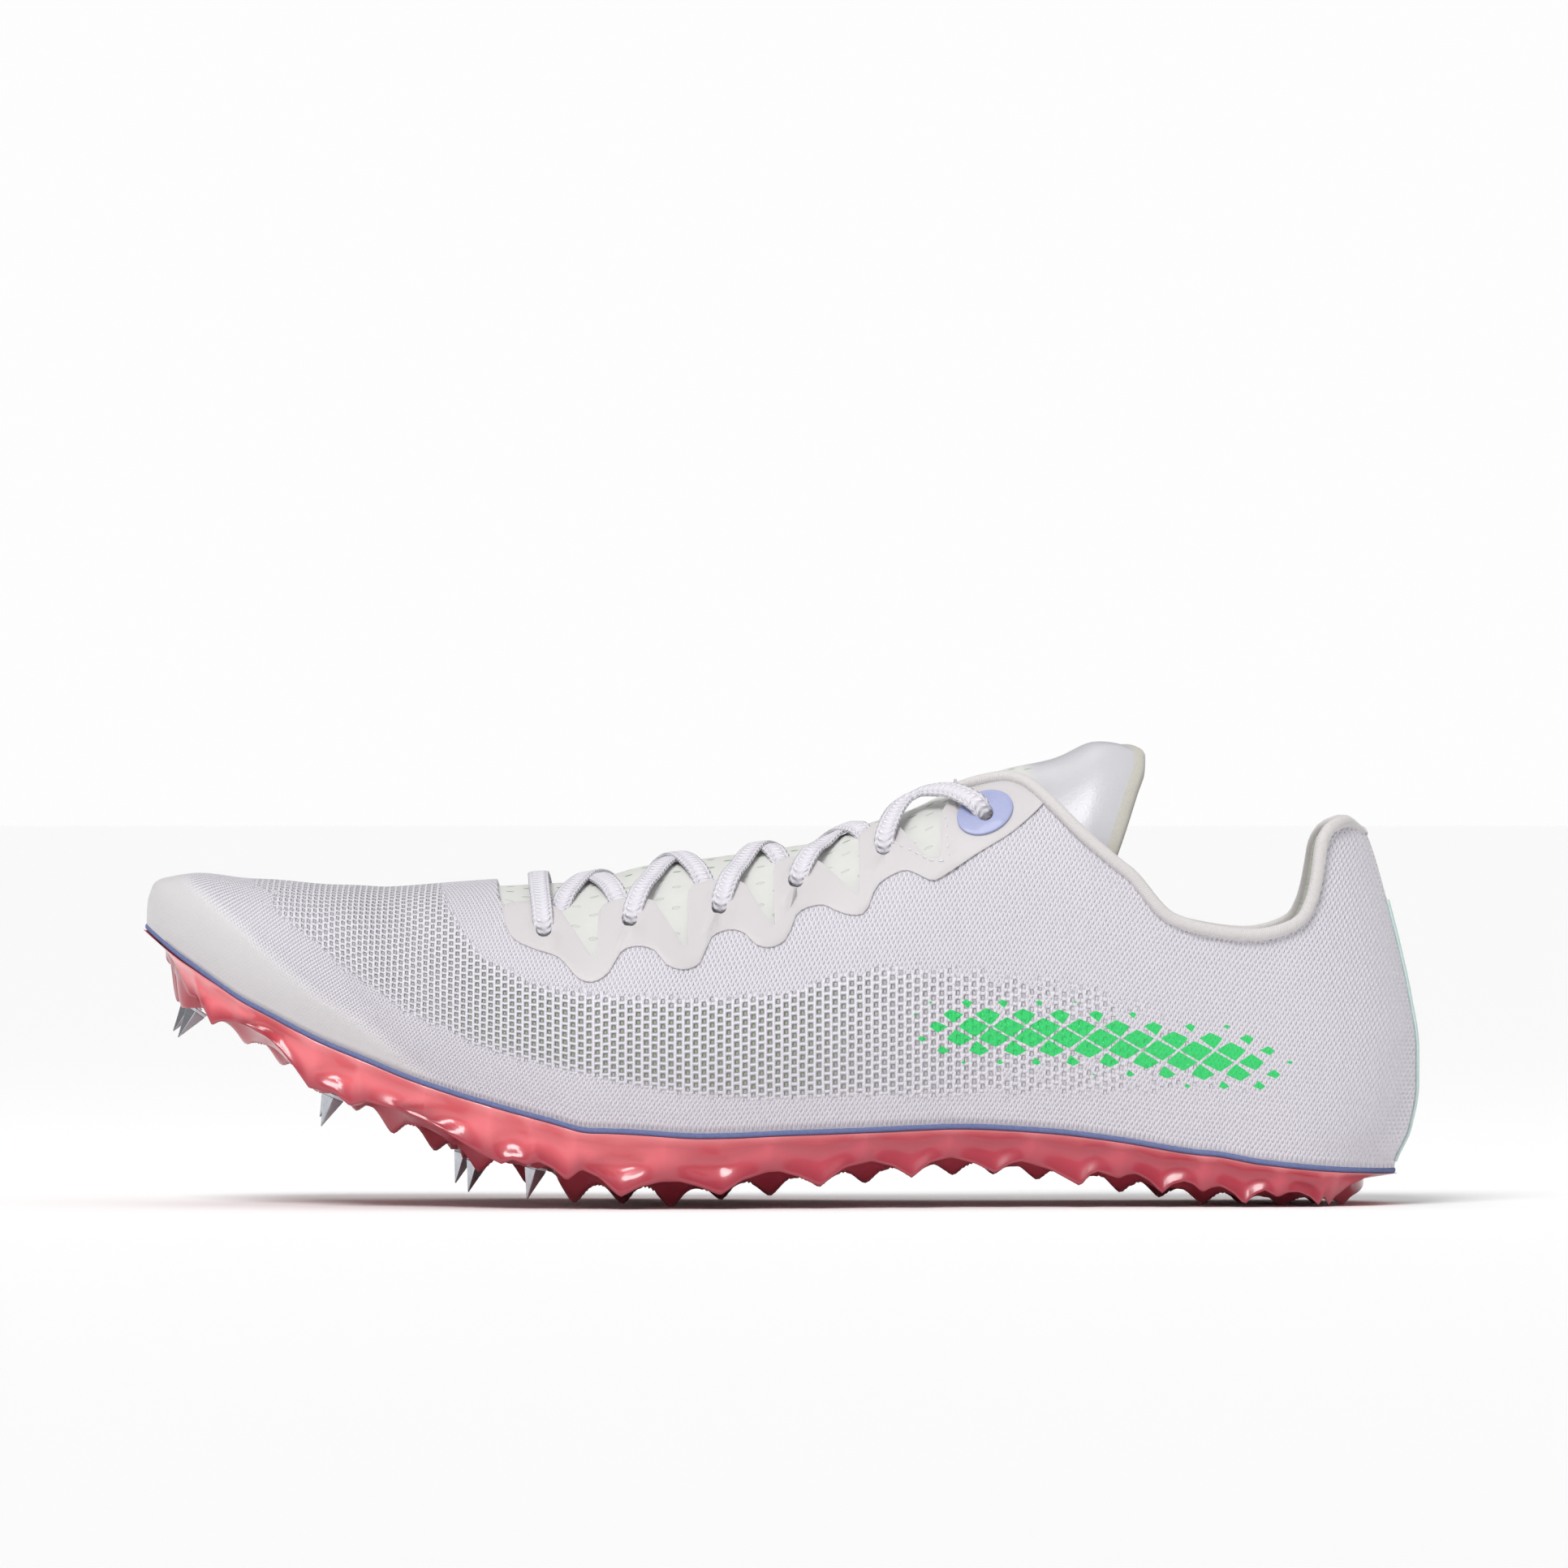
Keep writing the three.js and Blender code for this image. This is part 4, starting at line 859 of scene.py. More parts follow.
def creaseDepth(point):
    x, y = sideSteps(point)
    depth, ends, near = 0.0, creaseForm["ends"], creaseForm["near"]
    for (x0, y0), (x1, y1), width, deep in creases:
        way = Vector((x1 - x0, y1 - y0))
        spot = Vector((x - x0, y - y0))
        along = clamp(spot.dot(way) / way.length_squared)
        away = (spot - way * along).length / width
        if away < creaseForm["reach"]:
            swell = math.sin(math.pi * clamp(along, near, 1 - near))
            depth += deep * math.exp(-away * away) * (ends + (1 - ends) * swell)
    return depth


def fadeFrom(edge, fade, y):
    return smoothStep(edge + fade[0], edge + fade[1], y)


def openShare(x, y):
    return (openBand.read("share", x) * fadeFrom(openBand.read("top", x), fades["openTop"], y)
            * fadeFrom(openBand.read("bottom", x), fades["openBottom"], y))


def coverShare(x, y):
    return fadeFrom(polyline(coverEdge, x), fades["cover"], y)


# A band at one height over the hem, the same at both ends
def printShare(x, y):
    middle = side["floor"] - hemHeight(clamp((x - side["toe"]) * side["step"] / length)) / side["step"]
    away = abs(y - middle + printBand["rise"]) / printBand["reach"]
    ends = (smoothStep(printBand["start"], printBand["start"] + printBand["fade"], x)
            * smoothStep(printBand["end"], printBand["end"] - printBand["fade"], x))
    return ends * smoothStep(1.15, 0.1, away)


# Distance from the toe as the cloth counts it: its stitches are finer over the toes
def clothAlong(x):
    start, fade, crowd = 45.5, 59.5, 0.4
    share = clamp((x - start) / fade)
    return x + crowd * (min(x, start) + fade * (share - share ** 3 + share ** 4 / 2))


# Scale of its rows: finer over the toes, coarser over the midfoot
def clothRows(x):
    toes, midfoot = 0.22, 0.3
    return (1 + toes - toes * smoothStep(430, 760, x)) / (1 + midfoot * smoothStep(450, 1050, x))


# Surface between the hem, or a lower edge, and the upper's top edge, on one side
def laySide(bm, facing, spots, rows, lowHeight, zones):
    layers = {name: bm.verts.layers.float.get(name) or bm.verts.layers.float.new(name) for name in zones}
    chart = {}
    heads = []
    for foot, walk, high in spots:
        low = lowHeight(stationOf(foot))
        heads.append((foot, walk, math.asin(clamp(low)), math.asin(clamp(high))))

    def place(i, j):
        foot, walk, low, high = heads[i]
        share = j / rows
        at = stationOf(blend(foot, walk, share))
        return formPoint(at, facing, math.sin(blend(low, high, share)))

    laid = layGrid(bm, len(spots) - 1, rows, place)
    for i in range(len(spots)):
        walked, last = 0.0, None
        for j in range(rows + 1):
            vert = laid[i, j]
            step = (vert.co - last) if last is not None else Vector()
            walked += max(abs(step.z), 0.6 * step.length)
            last = vert.co.copy()
            spot = sideSteps(vert.co)
            chart[vert] = (clothAlong(vert.co.x + length / 2), walked * clothRows(spot[0]) * facing)
            for name, zone in zones.items():
                vert[layers[name]] = zone(*spot)
    writeChart(bm, chart)
    return laid


def cutHole(bm, laid, centre, radius):
    middle = Vector(centre)
    near = [vert for vert in laid.values()
            if (Vector((vert.co.x, vert.co.z)) - middle).length < radius]
    faces = {face for vert in near for face in vert.link_faces}
    rim = {vert for face in faces for vert in face.verts} - set(near)
    bmesh.ops.delete(bm, geom=near, context="VERTS")
    for vert in rim:
        if vert.is_valid:
            away = Vector((vert.co.x, vert.co.z)) - middle
            away *= radius / away.length
            vert.co.x, vert.co.z = middle.x + away.x, middle.y + away.y


def cutEyelets(bm, laid, radius):
    for spot in (*upper["eyelets"], upper["topEyelet"]):
        cutHole(bm, {key: vert for key, vert in laid.items() if vert.is_valid}, sideView(*spot), radius)


def makeUpper():
    bm = bmesh.new()
    zones = {"open": openShare, "cover": coverShare, "print": printShare}
    for facing in (-1, 1):
        laid = laySide(bm, facing, columns, upper["rows"], lambda at: 0.0, zones)
        cutEyelets(bm, laid, upper["hole"])
    weld(bm)
    cutThroat(bm)
    bm.normal_update()
    moves = [(vert, -vert.normal * creaseDepth(vert.co)) for vert in bm.verts]
    for vert, move in moves:
        vert.co += move
    for vert in bm.verts:
        if abs(vert.co.z - hemHeight(clamp(vert.co.x / length + 0.5))) < upper["hemBand"]:
            vert.co.z -= upper["hemDrop"]
    return makePiece("upperShell", bm, [paints["cloth"], paints["lining"]], ["upper"],
                     thickness=form["wall"], inside=1)


makeUpper()
print("upper made")

film = {"rows": 22, "lift": 0.02, "thickness": 0.4, "edge": 0.14, "hole": 1.75, "edgeStep": 0.6,
        "footShare": 0.25}


def makeFilm(facing, name, node):
    scallop = smoothLine(sidePoints(upper["scallops"]), film["edgeStep"])
    lowLine = sorted(formPlace(spot.x, spot.y) for spot in scallop)
    first, last = lowLine[0][0], lowLine[-1][0]
    spots = [(walk + (foot - walk) * film["footShare"], walk, high) for foot, walk, high in columns
             if first <= stationOf(walk) <= last]
    bm = bmesh.new()
    laid = laySide(bm, facing, spots, film["rows"], lambda at: polyline(lowLine, at), {})
    cutEyelets(bm, laid, film["hole"])
    weld(bm)
    cutThroat(bm)
    turnToward(bm, (0, facing, 0))
    outward(bm, film["lift"] + film["thickness"])
    return makePiece(name, bm, [paints["film"]], [node], thickness=film["thickness"],
                     bevel=film["edge"])


makeFilm(-1, "filmOuter", "eyestay_lateral")
makeFilm(1, "filmInner", "eyestay_medial")
print("film made")


# Sole

sole = {
    "spacing": 0.85, "wallRows": 12, "across": 52, "lip": 0.7, "taper": 1.2, "dish": 2.1,
    "toeUndercut": (5.0, 0.06), "heelUndercut": (7.5, 0.08),      # depth in mm, share of the length
    "floor": 2.0, "leastDepth": 1.2, "lipInset": 0.6, "weld": 0.002, "lowInset": 0.55,
    "endReach": 4, "endHold": 1.4, "lugCurve": 1.7, "ridgeCurve": 0.85, "rowCurve": 1.15,
    "acrossCurve": 0.93, "seatStep": 0.02, "seatRim": (1.35, 0.8), "hollowShare": 0.75,
    "tips": [(179, 1147), (196, 1170), (206, 1194), (214, 1212), (224, 1226), (236, 1229), (250, 1244),
             (262, 1262), (275, 1257), (294, 1257), (311, 1263), (335, 1276), (352, 1292), (368, 1312),
             (386, 1337), (404, 1340), (418, 1343), (437, 1359), (456, 1353), (490, 1361), (521, 1373),
             (552, 1388), (580, 1405), (598, 1416), (623, 1428), (637, 1422), (652, 1429), (668, 1425),
             (685, 1433), (702, 1448), (720, 1434), (742, 1444), (767, 1468), (790, 1456), (817, 1449),
             (840, 1449), (862, 1455), (889, 1466), (915, 1448), (945, 1438), (961, 1437), (985, 1444),
             (1010, 1456), (1040, 1433), (1073, 1425), (1100, 1432), (1122, 1446), (1145, 1427), (1170, 1421),
             (1200, 1429), (1224, 1441), (1240, 1430), (1255, 1426), (1290, 1436), (1328, 1457), (1340, 1443),
             (1350, 1439), (1375, 1448), (1385, 1443), (1397, 1442), (1412, 1450), (1428, 1466), (1440, 1455),
             (1456, 1451), (1468, 1455), (1479, 1465), (1490, 1459), (1503, 1457), (1520, 1466), (1534, 1480),
             (1548, 1467), (1562, 1462), (1578, 1471), (1592, 1465), (1606, 1464), (1625, 1471), (1642, 1481),
             (1655, 1469), (1665, 1481), (1682, 1470), (1714, 1457), (1720, 1448)],
    "ridges": [178, 205, 243, 300, 395, 450, 530, 610, 660, 712, 822, 951, 1066, 1170, 1270, 1380, 1485, 1585,
               1655, 1720],
    "phases": [(178, -16), (222, -14), (262, -12), (345, -10), (437, -8), (535, -6), (650, -4), (767, -2),
               (889, 0), (1010, 2), (1122, 4), (1224, 6), (1328, 8), (1428, 10), (1534, 12), (1642, 14),
               (1720, 15.4)],
    # shallow oval hollows in the wall: centre and reach in side view steps, depth in mm
    "hollows": [(248, 1222, 26, 13, 1.2), (330, 1264, 48, 15, 1.6), (420, 1318, 34, 14, 1.2),
                (525, 1372, 66, 20, 2.1), (640, 1400, 34, 17, 1.3), (766, 1428, 40, 16, 1.9),
                (872, 1428, 38, 17, 1.4)],
    "pins": [(.042, -.36, .03), (.036, .42, .03), (.152, -.66, .13), (.146, .64, .13), (.262, .1, .12),
             (.25, .72, .12), (.31, -.7, .34)],
    "seatRadius": 4.4,
}


def solePoint(at, facing, proud):
    point = formPoint(at, facing, 0)
    centre = ballWidth * upperTable.read("axis", at)
    half = abs(point.y - centre)
    ends = proud * math.sqrt(max(0, 1 - (half / (ballWidth / sole["endReach"])) ** 2))
    return Vector((point.x + (-ends if at < 0.5 else ends),
                   centre + facing * (half + proud * endRound(at)), 0))


def soleSteps(at):
    return side["toe"] + at * length / side["step"]


def lugShape(along, across):
    nearest = 9.0
    for i in range(round(along) - 1, round(along) + 2):
        for j in range(round(across) - 1, round(across) + 2):
            if (i + j) % 2:
                nearest = min(nearest, (along - i) ** 2 + (across - j) ** 2)
    return min(1, nearest ** 1.05)


def ridgeShare(x):
    ridges = sole["ridges"]
    i = int(clamp(bisect_right(ridges, x) - 1, 0, len(ridges) - 2))
    return math.sin(math.pi * clamp((x - ridges[i]) / (ridges[i + 1] - ridges[i]))) ** sole["ridgeCurve"]


def pinSeat(pin):
    at, across, seat = pin
    outer, inner = solePoint(at, -1, 0), solePoint(at, 1, 0)
    step = sole["seatStep"]
    fall = (plateTop(at - step) - plateTop(at + step)) / (2 * step * length)
    direction = Vector((-fall, 0, -1)).normalized()
    y = (inner.y + outer.y) / 2 + across * (inner.y - outer.y) / 2
    return Vector((outer.x, y, groundHeight(at) + seat * form["plateDepth"])), direction


seats = [pinSeat(pin) for pin in sole["pins"]]


def edgeHeight(steps):
    return (side["floor"] - polyline(sole["tips"], steps)) * side["step"]


def underside(at, across, x, y):
    steps, ground = soleSteps(at), groundHeight(at)
    depth = plateTop(at) - ground
    fade = min(1, endRound(at) * sole["endHold"])
    hollow = (1 - lugShape(polyline(sole["phases"], steps), across * 2)) ** sole["lugCurve"]
    inner = ground - 0.2 + (1 - fade) * 5 + max(0, depth - sole["floor"] - 0.6) * hollow * fade
    height = blend(inner, edgeHeight(steps), smoothStep(0.72, 0.97, abs(across)))
    wide, narrow = (sole["seatRadius"] * share for share in sole["seatRim"])
    for seat, _ in seats:
        away = math.hypot(x - seat.x, y - seat.y)
        height = blend(height, seat.z + 0.1, smoothStep(wide, narrow, away))
    return clamp(height, 0.02, plateTop(at) - sole["leastDepth"])


def undercut(at):
    (toe, toeReach), (heel, heelReach) = sole["toeUndercut"], sole["heelUndercut"]
    return toe * max(0, 1 - at / toeReach) - heel * max(0, 1 - (1 - at) / heelReach)


def makePlate():
    total = hemWalk[-1][1]
    count = round(total / sole["spacing"])
    rows, across = sole["wallRows"], sole["across"]
    bm = bmesh.new()
    # deep holds painted shade, rim a painted highlight along the top lip
    for name in ("deep", "rim"):
        bm.verts.layers.float.new(name)
    shadeLayer, highlightLayer = bm.verts.layers.float["deep"], bm.verts.layers.float["rim"]
    rings = []
    for i in range(count + 1):
        at = stationOf(total * i / count)
        steps, top, shift = soleSteps(at), plateTop(at), undercut(at)
        outer, inner = solePoint(at, -1, sole["lip"]), solePoint(at, 1, sole["lip"])
        half, centre = (inner.y - outer.y) / 2, (inner.y + outer.y) / 2
        edge = min(edgeHeight(steps), top - sole["leastDepth"])
        dish = sole["dish"] * ridgeShare(steps)

        def wallPoint(facing, share):
            down = side["floor"] - blend(top, edge, share) / side["step"]
            inset = (sole["lipInset"] * smoothStep(0.08, 0.2, share) + sole["taper"] * share
                     + dish * math.sin(math.pi * share ** 0.75) ** 1.2)
            for x0, y0, wide, high, depth in sole["hollows"]:
                away = ((steps - x0) / wide) ** 2 + ((down - y0) / high) ** 2
                inset += (sole["hollowShare"] * depth * smoothStep(1.0, 0.1, away)
                          * smoothStep(0.0, 0.2, share))
            y = centre + facing * max(0, half - inset)
            return Vector((outer.x + shift * share, y, blend(top, edge, share)))

        # points with their share of painted shade, darker toward the lower edge, and of painted highlight
        # along the top lip
        def wall(facing):
            shares = [(j / rows) ** sole["rowCurve"] for j in range(rows)]
            return [(wallPoint(facing, share), 0.92 * smoothStep(0.42, 0.95, share),
                     smoothStep(0.2, 0.06, share)) for share in shares]

        low = []
        lowHalf = max(0, half - sole["lowInset"] - sole["taper"])
        for k in range(across + 1):
            place = 2 * k / across - 1
            eased = math.copysign(abs(place) ** sole["acrossCurve"], place)
            x, y = outer.x + shift, centre + eased * lowHalf
            z = underside(at, eased, x, y)
            # Painted shade under the plate, deepest in the hollows between the lugs
            hollow = smoothStep(0.5, 9, z - groundHeight(at)) * smoothStep(1.0, 0.8, abs(eased))
            low.append((Vector((x, y, z)), 0.88 + 0.12 * hollow, 0))
        # The lid under the board: half painted shade and full painted highlight
        lid = [(Vector((outer.x, blend(centre + half, centre - half, k / 4), top)), 0.5, 1)
               for k in (1, 2, 3)]
        rings.append([*wall(-1), *low, *wall(1)[::-1], *lid])
    around = len(rings[0])
    laid = layGrid(bm, count, around, lambda i, j: rings[i][j % around][0])
    for (i, j), vert in laid.items():
        _, vert[shadeLayer], vert[highlightLayer] = rings[i][j % around]
    weld(bm, sole["weld"])
    return makePiece("solePlate", bm, [paints["coral"]], ["spike_plate"])


makePlate()
print("plate made")


board = {"spacing": 1.2, "thickness": 1.3, "lift": 0.02,
         "profile": [(0, 0), (.14, .12), (.3, .3), (.3, .7), (.14, .88), (0, 1)]}


def makeBoard():
    total = hemWalk[-1][1]
    count = round(total / board["spacing"])
    corners = [(-1, corner) for corner in board["profile"]]
    corners += [(1, corner) for corner in board["profile"][::-1]]
    bm = bmesh.new()

    def place(i, j):
        at = stationOf(total * i / count)
        facing, (proud, rise) = corners[j % len(corners)]
        spot = solePoint(at, facing, proud)
        return Vector((spot.x, spot.y, plateTop(at) + board["lift"] + board["thickness"] * rise))

    layGrid(bm, count, len(corners), place)
    weld(bm, sole["weld"])
    return makePiece("boardLine", bm, [paints["slate"]], ["midsole_board"])


makeBoard()
print("board made")

spike = {"flange": 3.0, "flangeHeight": 0.8, "flangeSides": 6, "flangeTaper": 0.9, "base": 2.5,
         "length": 6.9, "sides": 4, "tip": 0.12, "bevel": 0.14, "bevelFrom": 1.0}


def makeSpike(number, seat, direction):
    bm = bmesh.new()
    flange = bmesh.ops.create_cone(bm, cap_ends=True, segments=spike["flangeSides"],
                                   radius1=spike["flange"], radius2=spike["flange"] * spike["flangeTaper"],
                                   depth=spike["flangeHeight"])["verts"]
    bmesh.ops.translate(bm, vec=(0, 0, spike["flangeHeight"] / 2), verts=flange)
    point = bmesh.ops.create_cone(bm, cap_ends=True, segments=spike["sides"], radius1=spike["base"],
                                  radius2=spike["tip"], depth=spike["length"])["verts"]
    bmesh.ops.translate(bm, vec=(0, 0, spike["flangeHeight"] + spike["length"] / 2), verts=point)
    edges = [edge for edge in bm.edges if edge.calc_length() > spike["bevelFrom"]]
    bmesh.ops.bevel(bm, geom=edges, offset=spike["bevel"], offset_type="OFFSET", affect="EDGES",
                    segments=2, profile=0.5, material=-1)
    turn = Vector((0, 0, 1)).rotation_difference(direction)
    bmesh.ops.rotate(bm, cent=(0, 0, 0), matrix=turn.to_matrix(), verts=bm.verts[:])
    bmesh.ops.translate(bm, vec=seat + direction * form["gap"] * 0.5, verts=bm.verts[:])
    piece = makePiece(f"pin{number}", bm, [paints["steel"]], [f"spike_{number}"])
    piece.data.shade_flat()
    return piece


for number, (seat, direction) in enumerate(seats, 1):
    makeSpike(number, seat, direction)
print("pins made")


# Tongue

tongue = {"rows": 150, "across": 90, "lift": -1.6, "thickness": 2.3, "front": 0.262, "bindingWidth": 3.4,
          "bindingHeight": 3.0, "curl": 2.6, "curlStart": 0.93, "bevel": 0.7, "chartHalf": 62,
          "satin": (1262, 1290), "satinLean": 0.15, "satinLevel": 1000}
tongueRear = Table(
    "g at",
    (0, .764), (.14, .776), (.28, .7825), (.42, .782), (.6, .776), (.8, .767), (1, .755))
tongueWing = Table(
    "at height",
    (.25, .5), (.27, .42), (.31, .35), (.357, .335), (.426, .395), (.494, .44), (.56, .505), (.62, .575),
    (.72, .64), (.752, .67), (.79, .68))


def wingAcross(at, facing):
    return acrossOf(facing, tongueWing.read("height", at) * upperHeight / riseAt(at))


def tonguePlace(f, g):
    facing = -1 if g < 0 else 1
    at = blend(tongue["front"], tongueRear.read("at", abs(g)), f)
    return at, wingAcross(at, facing) * abs(g)


def tongueDrop(f):
    late = max(0, (f - tongue["curlStart"]) / (1 - tongue["curlStart"]))
    return Vector((0, 0, -tongue["curl"] * late ** 2))


def makeTongue():
    rows, across = tongue["rows"], tongue["across"]
    bm = bmesh.new()
    satin = bm.verts.layers.float.new("satin")
    laid = layGrid(bm, rows, across, lambda i, j: skin(*tonguePlace(i / rows, 2 * j / across - 1)))
    chart = {}
    for (i, j), vert in laid.items():
        x, y = sideSteps(vert.co)
        chart[vert] = (vert.co.x + length / 2, (2 * j / across - 1) * tongue["chartHalf"])
        vert[satin] = smoothStep(*tongue["satin"], x + (tongue["satinLevel"] - y) * tongue["satinLean"])
    writeChart(bm, chart)
    turnToward(bm, (0, 0, 1))
    outward(bm, tongue["lift"])
    for (i, _), vert in laid.items():
        vert.co += tongueDrop(i / rows)
    piece = makePiece("tonguePad", bm, [paints["tongue"], paints["lining"]], ["tongue"],
                      thickness=tongue["thickness"], inside=1, bevel=tongue["bevel"])
    return piece


def sweptPiece(name, frames, profile, paint, nodes=()):
    bm = bmesh.new()
    spots = sweep(bm, frames, profile)
    walked = [0.0]
    for (last, _), (point, _) in zip(frames, frames[1:]):
        walked.append(walked[-1] + (point - last).length)
    around = len(profile)
    rim = sum(math.dist(profile[k], profile[(k + 1) % around]) for k in range(around))
    writeChart(bm, {vert: (walked[i], j / around * rim) for (i, j), vert in spots.items()})
    weld(bm, sole["weld"])
    return makePiece(name, bm, [paint], nodes)


tongueEdge = {"steps": 120, "half": 0.97, "end": 0.994, "sides": 14, "square": 0.7}


def makeTongueBinding():
    frames = []
    for k in range(tongueEdge["steps"] + 1):
        g = blend(-tongueEdge["half"], tongueEdge["half"], k / tongueEdge["steps"])
        point, normal = skinFrame(*tonguePlace(tongueEdge["end"], g))
        drop = tongueDrop(tongueEdge["end"])
        frames.append((point + drop + normal * (tongue["lift"] - tongue["thickness"] / 2), normal))
    profile = ovalProfile(tongue["bindingWidth"], tongue["bindingHeight"], tongueEdge["sides"],
                          tongueEdge["square"])
    return sweptPiece("tongueBinding", frames, profile, paints["tongueBinding"])


makeTongue()
makeTongueBinding()
print("tongue made")


# Collar binding, washers and heel tape

binding = {"width": 3.1, "lift": -0.05, "sink": 1.3, "sinkStart": 0.975, "step": 1.2, "rear": 0.997,
           "sides": 14, "square": 0.8}


def bindingFrames():
    places = collarCentre(upper["bindingHeight"] / 2)
    picked, last = [], None
    for at, height in places:
        point = formPoint(at, -1, height)
        if last is None or (point - last).length > binding["step"] or at >= 1:
            picked.append((at, height))
            last = point
    frames = []
    for facing, order in ((-1, picked), (1, picked[-2::-1])):
        for at, height in order:
            point, normal = skinFrame(at, acrossOf(facing, height))
            if at > binding["rear"]:
                point = formPoint(1, facing, height)
                normal = Vector((normal.x, 0, normal.z)).normalized()
            sink = binding["sink"] * smoothStep(binding["sinkStart"], 1, at)
            lift = binding["width"] / 2 - form["wall"] + binding["lift"] - sink
            frames.append((point + normal * lift, normal))
    return frames


rollProfile = ovalProfile(upper["bindingHeight"], binding["width"], binding["sides"], binding["square"])
sweptPiece("collarRoll", bindingFrames(), rollProfile, paints["binding"], ["collar_binding"])

washer = {"length": 12.9, "width": 8.9, "tilt": 25, "hole": 1.8, "lift": 0.4, "thickness": 0.55,
          "steps": 56, "rings": 5, "bevel": 0.15}


def makeWasher(facing, name, node):
    x0, z0 = sideView(*upper["topEyelet"])
    tilt = math.radians(washer["tilt"])
    steps, rings = washer["steps"], washer["rings"]
    bm = bmesh.new()

    def place(i, j):
        angle = 2 * math.pi * i / steps
        share = j / rings
        long = blend(washer["hole"], washer["length"] / 2, share) * math.cos(angle)
        short = blend(washer["hole"], washer["width"] / 2, share) * math.sin(angle)
        x = x0 + long * math.cos(tilt) - short * math.sin(tilt)
        z = z0 + long * math.sin(tilt) + short * math.cos(tilt)
        at, height = formPlace(x, z)
        return formPoint(at, facing, height)

    layGrid(bm, steps, rings, place)
    weld(bm)
    turnToward(bm, (0, facing, 0))
    outward(bm, washer["lift"] + washer["thickness"])
    return makePiece(name, bm, [paints["washer"]], [node], thickness=washer["thickness"],
                     bevel=washer["bevel"])


makeWasher(-1, "washerOuter", "washer_lateral")
makeWasher(1, "washerInner", "washer_medial")

tape = {"width": 11.0, "foot": 0.01, "top": 0.655, "lift": 0.02, "thickness": 0.5, "across": 16, "rows": 60,
        "from": 0.9, "turns": 24, "bevel": 0.15}


def makeTape():
    wide, high = tape["across"], tape["rows"]
    bm = bmesh.new()

    def place(i, j):
        y = tape["width"] * (i / wide - 0.5)
        overHem = blend(tape["foot"], tape["top"], j / high) * upperHeight
        facing = -1 if y < 0 else 1
        low, top = tape["from"], 1.0
        for _ in range(tape["turns"]):
            at = (low + top) / 2
            point = formPoint(at, facing, overHem / riseAt(at))
            if abs(point.y - ballWidth * upperTable.read("axis", at)) > abs(y):
                low = at
            else:
                top = at
        return formPoint(low, facing, overHem / riseAt(low))

    layGrid(bm, wide, high, place)
    turnToward(bm, (1, 0, 0))
    outward(bm, tape["lift"] + tape["thickness"])
    return makePiece("heelTape", bm, [paints["mint"]], ["heel_tape"],
                     thickness=tape["thickness"], bevel=tape["bevel"])


makeTape()
print("binding, washers and tape made")


# Laces

lace = {
    "width": 4.7, "height": 1.1, "sides": 12, "square": 0.6, "steps": 44, "barSteps": 70, "bow": -0.006,
    "over": 1.05, "onTongue": -0.55, "under": -2.1, "crown": 0.985, "topStep": 5.0,
    "tabTops": [(636, 1112), (752, 1107), (876, 1083), (960, 1057), (1080, 1018)],
    # strand to the top eyelet: place in side view steps and height over the form
    "topRoute": [(1088, 1046, -1.6), (1091, 1034, 1.2), (1101, 1015, 1.9), (1114, 999, 2.0),
                 (1138, 986, 2.2), (1169, 983, 2.4), (1192, 990, 2.6), (1207, 998, 1.9), (1213, 1003, -1.4)],
}


def eyeletPlace(number, facing):
    at, height = formSteps(*upper["eyelets"][number])
    return at, acrossOf(facing, height)


def frameAt(at, across, lift):
    point, normal = skinFrame(at, across)
    return point + normal * lift, normal


# Height over the form along a strand, as (share, lift) pairs
def strandFrames(start, end, lifts, steps=lace["steps"], bow=0.0):
    (at0, across0), (at1, across1) = start, end
    frames = []
    for k in range(steps + 1):
        t = k / steps
        at = blend(at0, at1, t) + bow * math.sin(math.pi * t)
        frames.append(frameAt(at, blend(across0, across1, t), liftTable(lifts, t)))
    return frames


def liftTable(lifts, t):
    for (t0, lift0), (t1, lift1) in zip(lifts, lifts[1:]):
        if t <= t1:
            return blend(lift0, lift1, smoothStep(0, 1, (t - t0) / (t1 - t0)))
    return lifts[-1][1]


# Share of the way from the eyelet to the crown at which the tab ends
def tabShare(number, facing):
    _, across = eyeletPlace(number, facing)
    _, height = formSteps(*lace["tabTops"][number])
    return (abs(across) - abs(acrossOf(facing, height))) / (2 * abs(across))


def makeCrossing(number):
    strands = []
    for facing in (-1, 1):
        start, end = eyeletPlace(number, facing), eyeletPlace(number + 1, -facing)
        leave, arrive = tabShare(number, facing), 1 - tabShare(number + 1, -facing)
        top = 0.75 if (facing < 0) == (number % 2 == 0) else -0.1
        middle = lace["onTongue"] + top
        if number == 0:
            lifts = [(0, lace["under"] - 0.6), (leave, lace["under"]), (leave + .1, lace["onTongue"]),
                     (.5, middle), (arrive - .1, lace["onTongue"]), (arrive, lace["under"]),
                     (1, lace["under"] - .6)]
        else:
            lifts = [(0, -1.6), (.045, 0.6), (.1, lace["over"]), (leave - .02, lace["over"]),
                     (leave + .13, lace["onTongue"] + .2), (.5, middle), (arrive - .12, lace["onTongue"]),
                     (arrive, lace["under"]), (1, lace["under"] - .6)]
        strands.append((facing, strandFrames(start, end, lifts)))
    return strands


laceProfile = ovalProfile(lace["width"], lace["height"], lace["sides"], lace["square"])


def makeLace(name, frames, nodes):
    sweptPiece(name, frames, laceProfile, paints["lace"], nodes)


